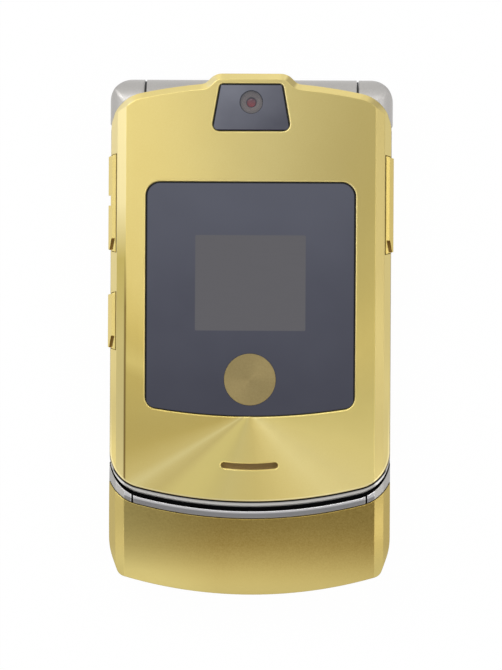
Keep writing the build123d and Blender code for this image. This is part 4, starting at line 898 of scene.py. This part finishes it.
def arc(x, y, radius, start, end, steps=14):
    """Points along an arc between two angles in degrees from +X."""
    turns = [math.radians(start + (end - start) * i / steps) for i in range(steps + 1)]
    return [(x + radius * math.cos(turn), y + radius * math.sin(turn)) for turn in turns]


def moved(outlines, x, y):
    return [[(px + x, py + y) for px, py in outline] for outline in outlines]


def rotated(outline, degrees):
    """An outline turned about the middle of its key."""
    cos, sin = math.cos(math.radians(degrees)), math.sin(math.radians(degrees))
    return [(x * cos - y * sin, x * sin + y * cos) for x, y in outline]


def handset(lift):
    """A telephone receiver lying on its back, or lifted at one end by an angle."""
    grip = arc(0, -2.1, 2.9, 128, 52)
    shapes = [stroke(grip, 0.62)]
    for x, y in (grip[0], grip[-1]):
        shapes.append([(x - 0.55, y - 0.75), (x + 0.55, y - 0.75), (x + 0.5, y + 0.3), (x - 0.5, y + 0.3)])
    return [rotated(shape, lift) for shape in shapes]


SYMBOLS = {
    "key_send": handset(42),
    "key_end": handset(0),
    "key_clear": [
        stroke([(1.7, 0), (-0.9, 0)], 0.36),
        [(-2.1, 0), (-0.8, 0.85), (-0.8, -0.85)],
    ],
    "key_menu": [stroke([(-1.5, y), (1.5, y)], 0.3) for y in (-0.75, 0.0, 0.75)],
    "key_message": [
        stroke([(-1.8, 1.2), (-1.8, -1.2), (1.8, -1.2), (1.8, 1.2)], 0.26),
        stroke([(-1.8, 1.2), (1.8, 1.2)], 0.26),
        stroke([(-1.7, 1.1), (0, -0.15), (1.7, 1.1)], 0.24),
    ],
    "key_browser": [
        stroke(arc(0, 0, 1.5, 0, 352, 32), 0.26),
        stroke(arc(0, 0, 0.75, 0, 352, 20), 0.22),
        stroke([(-1.5, 0), (1.5, 0)], 0.22),
        stroke([(0, -1.5), (0, 1.5)], 0.22),
    ],
    "key_soft_left": [stroke([(-1.4, 0), (1.4, 0)], 0.42)],
    "key_soft_right": [stroke([(-1.4, 0), (1.4, 0)], 0.42)],
    "key_select": [arc(0, 0, 0.55, 0, 345, 23)],
    "key_star": [stroke(rotated([(1.15, 0), (-1.15, 0)], turn), 0.34) for turn in (90, 30, 150)],
}
for name, outlines in SYMBOLS.items():
    x, y, z = key_top(name)
    mesh = flat_shape(moved(outlines, x, y), z, z + SYMBOL_RISE)
    mesh_piece(name.replace("key_", "symbol_"), mesh, name, "legend")

FIGURES = {f"key_{n}": str(n) for n in range(10)}
FIGURES["key_hash"] = "#"
for name, text in FIGURES.items():
    mesh = character(text, *key_top(name))
    mesh_piece(name.replace("key_", "figure_"), mesh, name, "legend")

ring_x, ring_y, ring_z = key_top("key_ring")
arrows = moved([rotated(ARROW, turn) for turn in (0, 90, 180, 270)], ring_x, ring_y)
arrow_mesh = flat_shape(arrows, ring_z, ring_z + SYMBOL_RISE)
mesh_piece("symbol_arrows", arrow_mesh, "key_ring", "legend")

# ---------------------------------------------------------------------------
# Floor, light and camera
# ---------------------------------------------------------------------------

FLOOR_REACH = 2.5  # metres from the middle to each side
FLOOR_DROP = 0.03  # millimetres, keeps the floor clear of the phone's flat back
PAPER = (0.86, 0.86, 0.86, 1)
WHITE_SHARE = 0.98  # share of plain white in what the camera and reflections see of the floor
AMBIENT = (0.6, 0.6, 0.6, 1)  # the light that falls on the phone from all round
STUDIO_GREYS = [(0.5, 1.0), (0.82, 0.86), (1.0, 0.24)]  # by the height of the direction, 1 overhead

# Name, degrees from +X towards +Y, degrees from overhead, distance, width and height in metres, watts.
LAMPS = (
    ("lamp_upper_left", 125, 42, 0.7, 0.34, 0.30, 1.3),
    ("lamp_top", 95, 38, 0.8, 0.30, 0.25, 0.4),
    ("lamp_strip", 212, 48, 0.7, 0.05, 0.40, 0.26),
    ("lamp_right", 335, 46, 0.8, 0.40, 0.30, 0.9),
    ("lamp_far_right", 28, 44, 0.8, 0.35, 0.30, 0.6),
    ("lamp_left", 150, 60, 0.7, 0.30, 0.30, 0.45),
    ("lamp_low_front", 250, 56, 0.8, 0.50, 0.25, 0.28),
)
LAMP_AIM = Vector((0, 0, 0.01))

# The camera looks straight down on the closed lid, a little from the right. Lengths are in millimetres.
CAMERA_AIM = (0.18, -0.05, 13.9)
CAMERA_DISTANCE = 800.0
CAMERA_LEAN = 1.0  # degrees towards +X
CAMERA_ROLL = 0.3  # degrees
PIXELS_PER_MM = 5.338
IMAGE_HEIGHT = 670  # pixels
SENSOR = 36.0  # spans the image's height, which is its longer side


def light_path_share(nodes, links):
    """1 for a ray from the camera, off metal or through glass, and 0 for light that falls on the object."""
    path = nodes.new("ShaderNodeLightPath")
    share = path.outputs["Is Camera Ray"]
    for kind in ("Is Glossy Ray", "Is Transmission Ray"):
        most = nodes.new("ShaderNodeMath")
        most.operation = "MAXIMUM"
        links.new(share, most.inputs[0])
        links.new(path.outputs[kind], most.inputs[1])
        share = most.outputs[0]
    return share


def floor_paper():
    """Pale paper that the camera sees as white, and sees through from below."""
    material = bpy.data.materials.new("floor_paper")
    material.use_nodes = True
    nodes, links = material.node_tree.nodes, material.node_tree.links
    paper = nodes["Principled BSDF"]
    paper.inputs["Base Color"].default_value = PAPER
    paper.inputs["Roughness"].default_value = 0.9
    paper.inputs["Specular IOR Level"].default_value = 0.0
    white = nodes.new("ShaderNodeEmission")
    white.inputs["Strength"].default_value = 1.0
    blend = nodes.new("ShaderNodeMath")
    blend.operation = "MULTIPLY"
    links.new(light_path_share(nodes, links), blend.inputs[0])
    blend.inputs[1].default_value = WHITE_SHARE
    mixed = nodes.new("ShaderNodeMixShader")
    links.new(blend.outputs[0], mixed.inputs[0])
    links.new(paper.outputs[0], mixed.inputs[1])
    links.new(white.outputs[0], mixed.inputs[2])
    side = nodes.new("ShaderNodeNewGeometry")
    clear = nodes.new("ShaderNodeBsdfTransparent")
    one_sided = nodes.new("ShaderNodeMixShader")
    links.new(side.outputs["Backfacing"], one_sided.inputs[0])
    links.new(mixed.outputs[0], one_sided.inputs[1])
    links.new(clear.outputs[0], one_sided.inputs[2])
    links.new(one_sided.outputs[0], nodes["Material Output"].inputs["Surface"])
    return material


def make_floor():
    made = bmesh.new()
    bmesh.ops.create_grid(made, x_segments=8, y_segments=8, size=FLOOR_REACH)
    bmesh.ops.translate(made, verts=made.verts, vec=(0, 0, -FLOOR_DROP * MM))
    mesh = bpy.data.meshes.new("floor")
    made.to_mesh(mesh)
    made.free()
    mesh.materials.append(floor_paper())
    floor = bpy.data.objects.new("floor", mesh)
    bpy.context.scene.collection.objects.link(floor)


def make_world():
    """A pale studio: white at the walls, greyer overhead."""
    world = bpy.data.worlds.new("studio")
    bpy.context.scene.world = world
    world.use_nodes = True
    nodes, links = world.node_tree.nodes, world.node_tree.links
    background = nodes["Background"]
    place = nodes.new("ShaderNodeTexCoord")
    split = nodes.new("ShaderNodeSeparateXYZ")
    links.new(place.outputs["Generated"], split.inputs[0])
    ceiling = nodes.new("ShaderNodeValToRGB")
    fill_ramp(ceiling, STUDIO_GREYS)
    links.new(split.outputs["Z"], ceiling.inputs[0])
    seen = nodes.new("ShaderNodeMix")
    seen.data_type = "RGBA"
    links.new(light_path_share(nodes, links), seen.inputs[MIX_SHARE])
    seen.inputs[MIX_FIRST].default_value = AMBIENT
    links.new(ceiling.outputs[0], seen.inputs[MIX_SECOND])
    links.new(seen.outputs[MIX_RESULT], background.inputs["Color"])
    background.inputs["Strength"].default_value = 1.0


def area_lamp(name, azimuth, from_zenith, distance, width, height, power):
    """A soft box aimed at the phone."""
    data = bpy.data.lights.new(name, "AREA")
    data.shape = "RECTANGLE"
    data.size, data.size_y = width, height
    data.energy = power
    lamp = bpy.data.objects.new(name, data)
    bpy.context.scene.collection.objects.link(lamp)
    turn, tilt = math.radians(azimuth), math.radians(from_zenith)
    out = Vector((math.cos(turn) * math.sin(tilt), math.sin(turn) * math.sin(tilt), math.cos(tilt)))
    lamp.location = LAMP_AIM + out * distance
    lamp.rotation_mode = "QUATERNION"
    lamp.rotation_quaternion = out.to_track_quat("Z", "Y")


def make_camera():
    data = bpy.data.cameras.new("camera")
    data.sensor_width = SENSOR
    data.lens = SENSOR * CAMERA_DISTANCE / (IMAGE_HEIGHT / PIXELS_PER_MM)
    data.clip_start = 0.01
    data.clip_end = 20.0
    camera = bpy.data.objects.new("camera", data)
    bpy.context.scene.collection.objects.link(camera)
    bpy.context.scene.camera = camera
    out = Vector((math.sin(math.radians(CAMERA_LEAN)), 0.0, 1.0)).normalized()
    camera.location = (Vector(CAMERA_AIM) + out * CAMERA_DISTANCE) * MM
    right = Vector((0, 1, 0)).cross(out).normalized()
    upright = Matrix((right, out.cross(right), out)).transposed()
    camera.rotation_mode = "QUATERNION"
    rolled = upright @ Matrix.Rotation(math.radians(CAMERA_ROLL), 3, "Z")
    camera.rotation_quaternion = rolled.to_quaternion()


make_floor()
make_world()
for lamp in LAMPS:
    area_lamp(*lamp)
make_camera()
bpy.context.scene.view_settings.view_transform = "Standard"
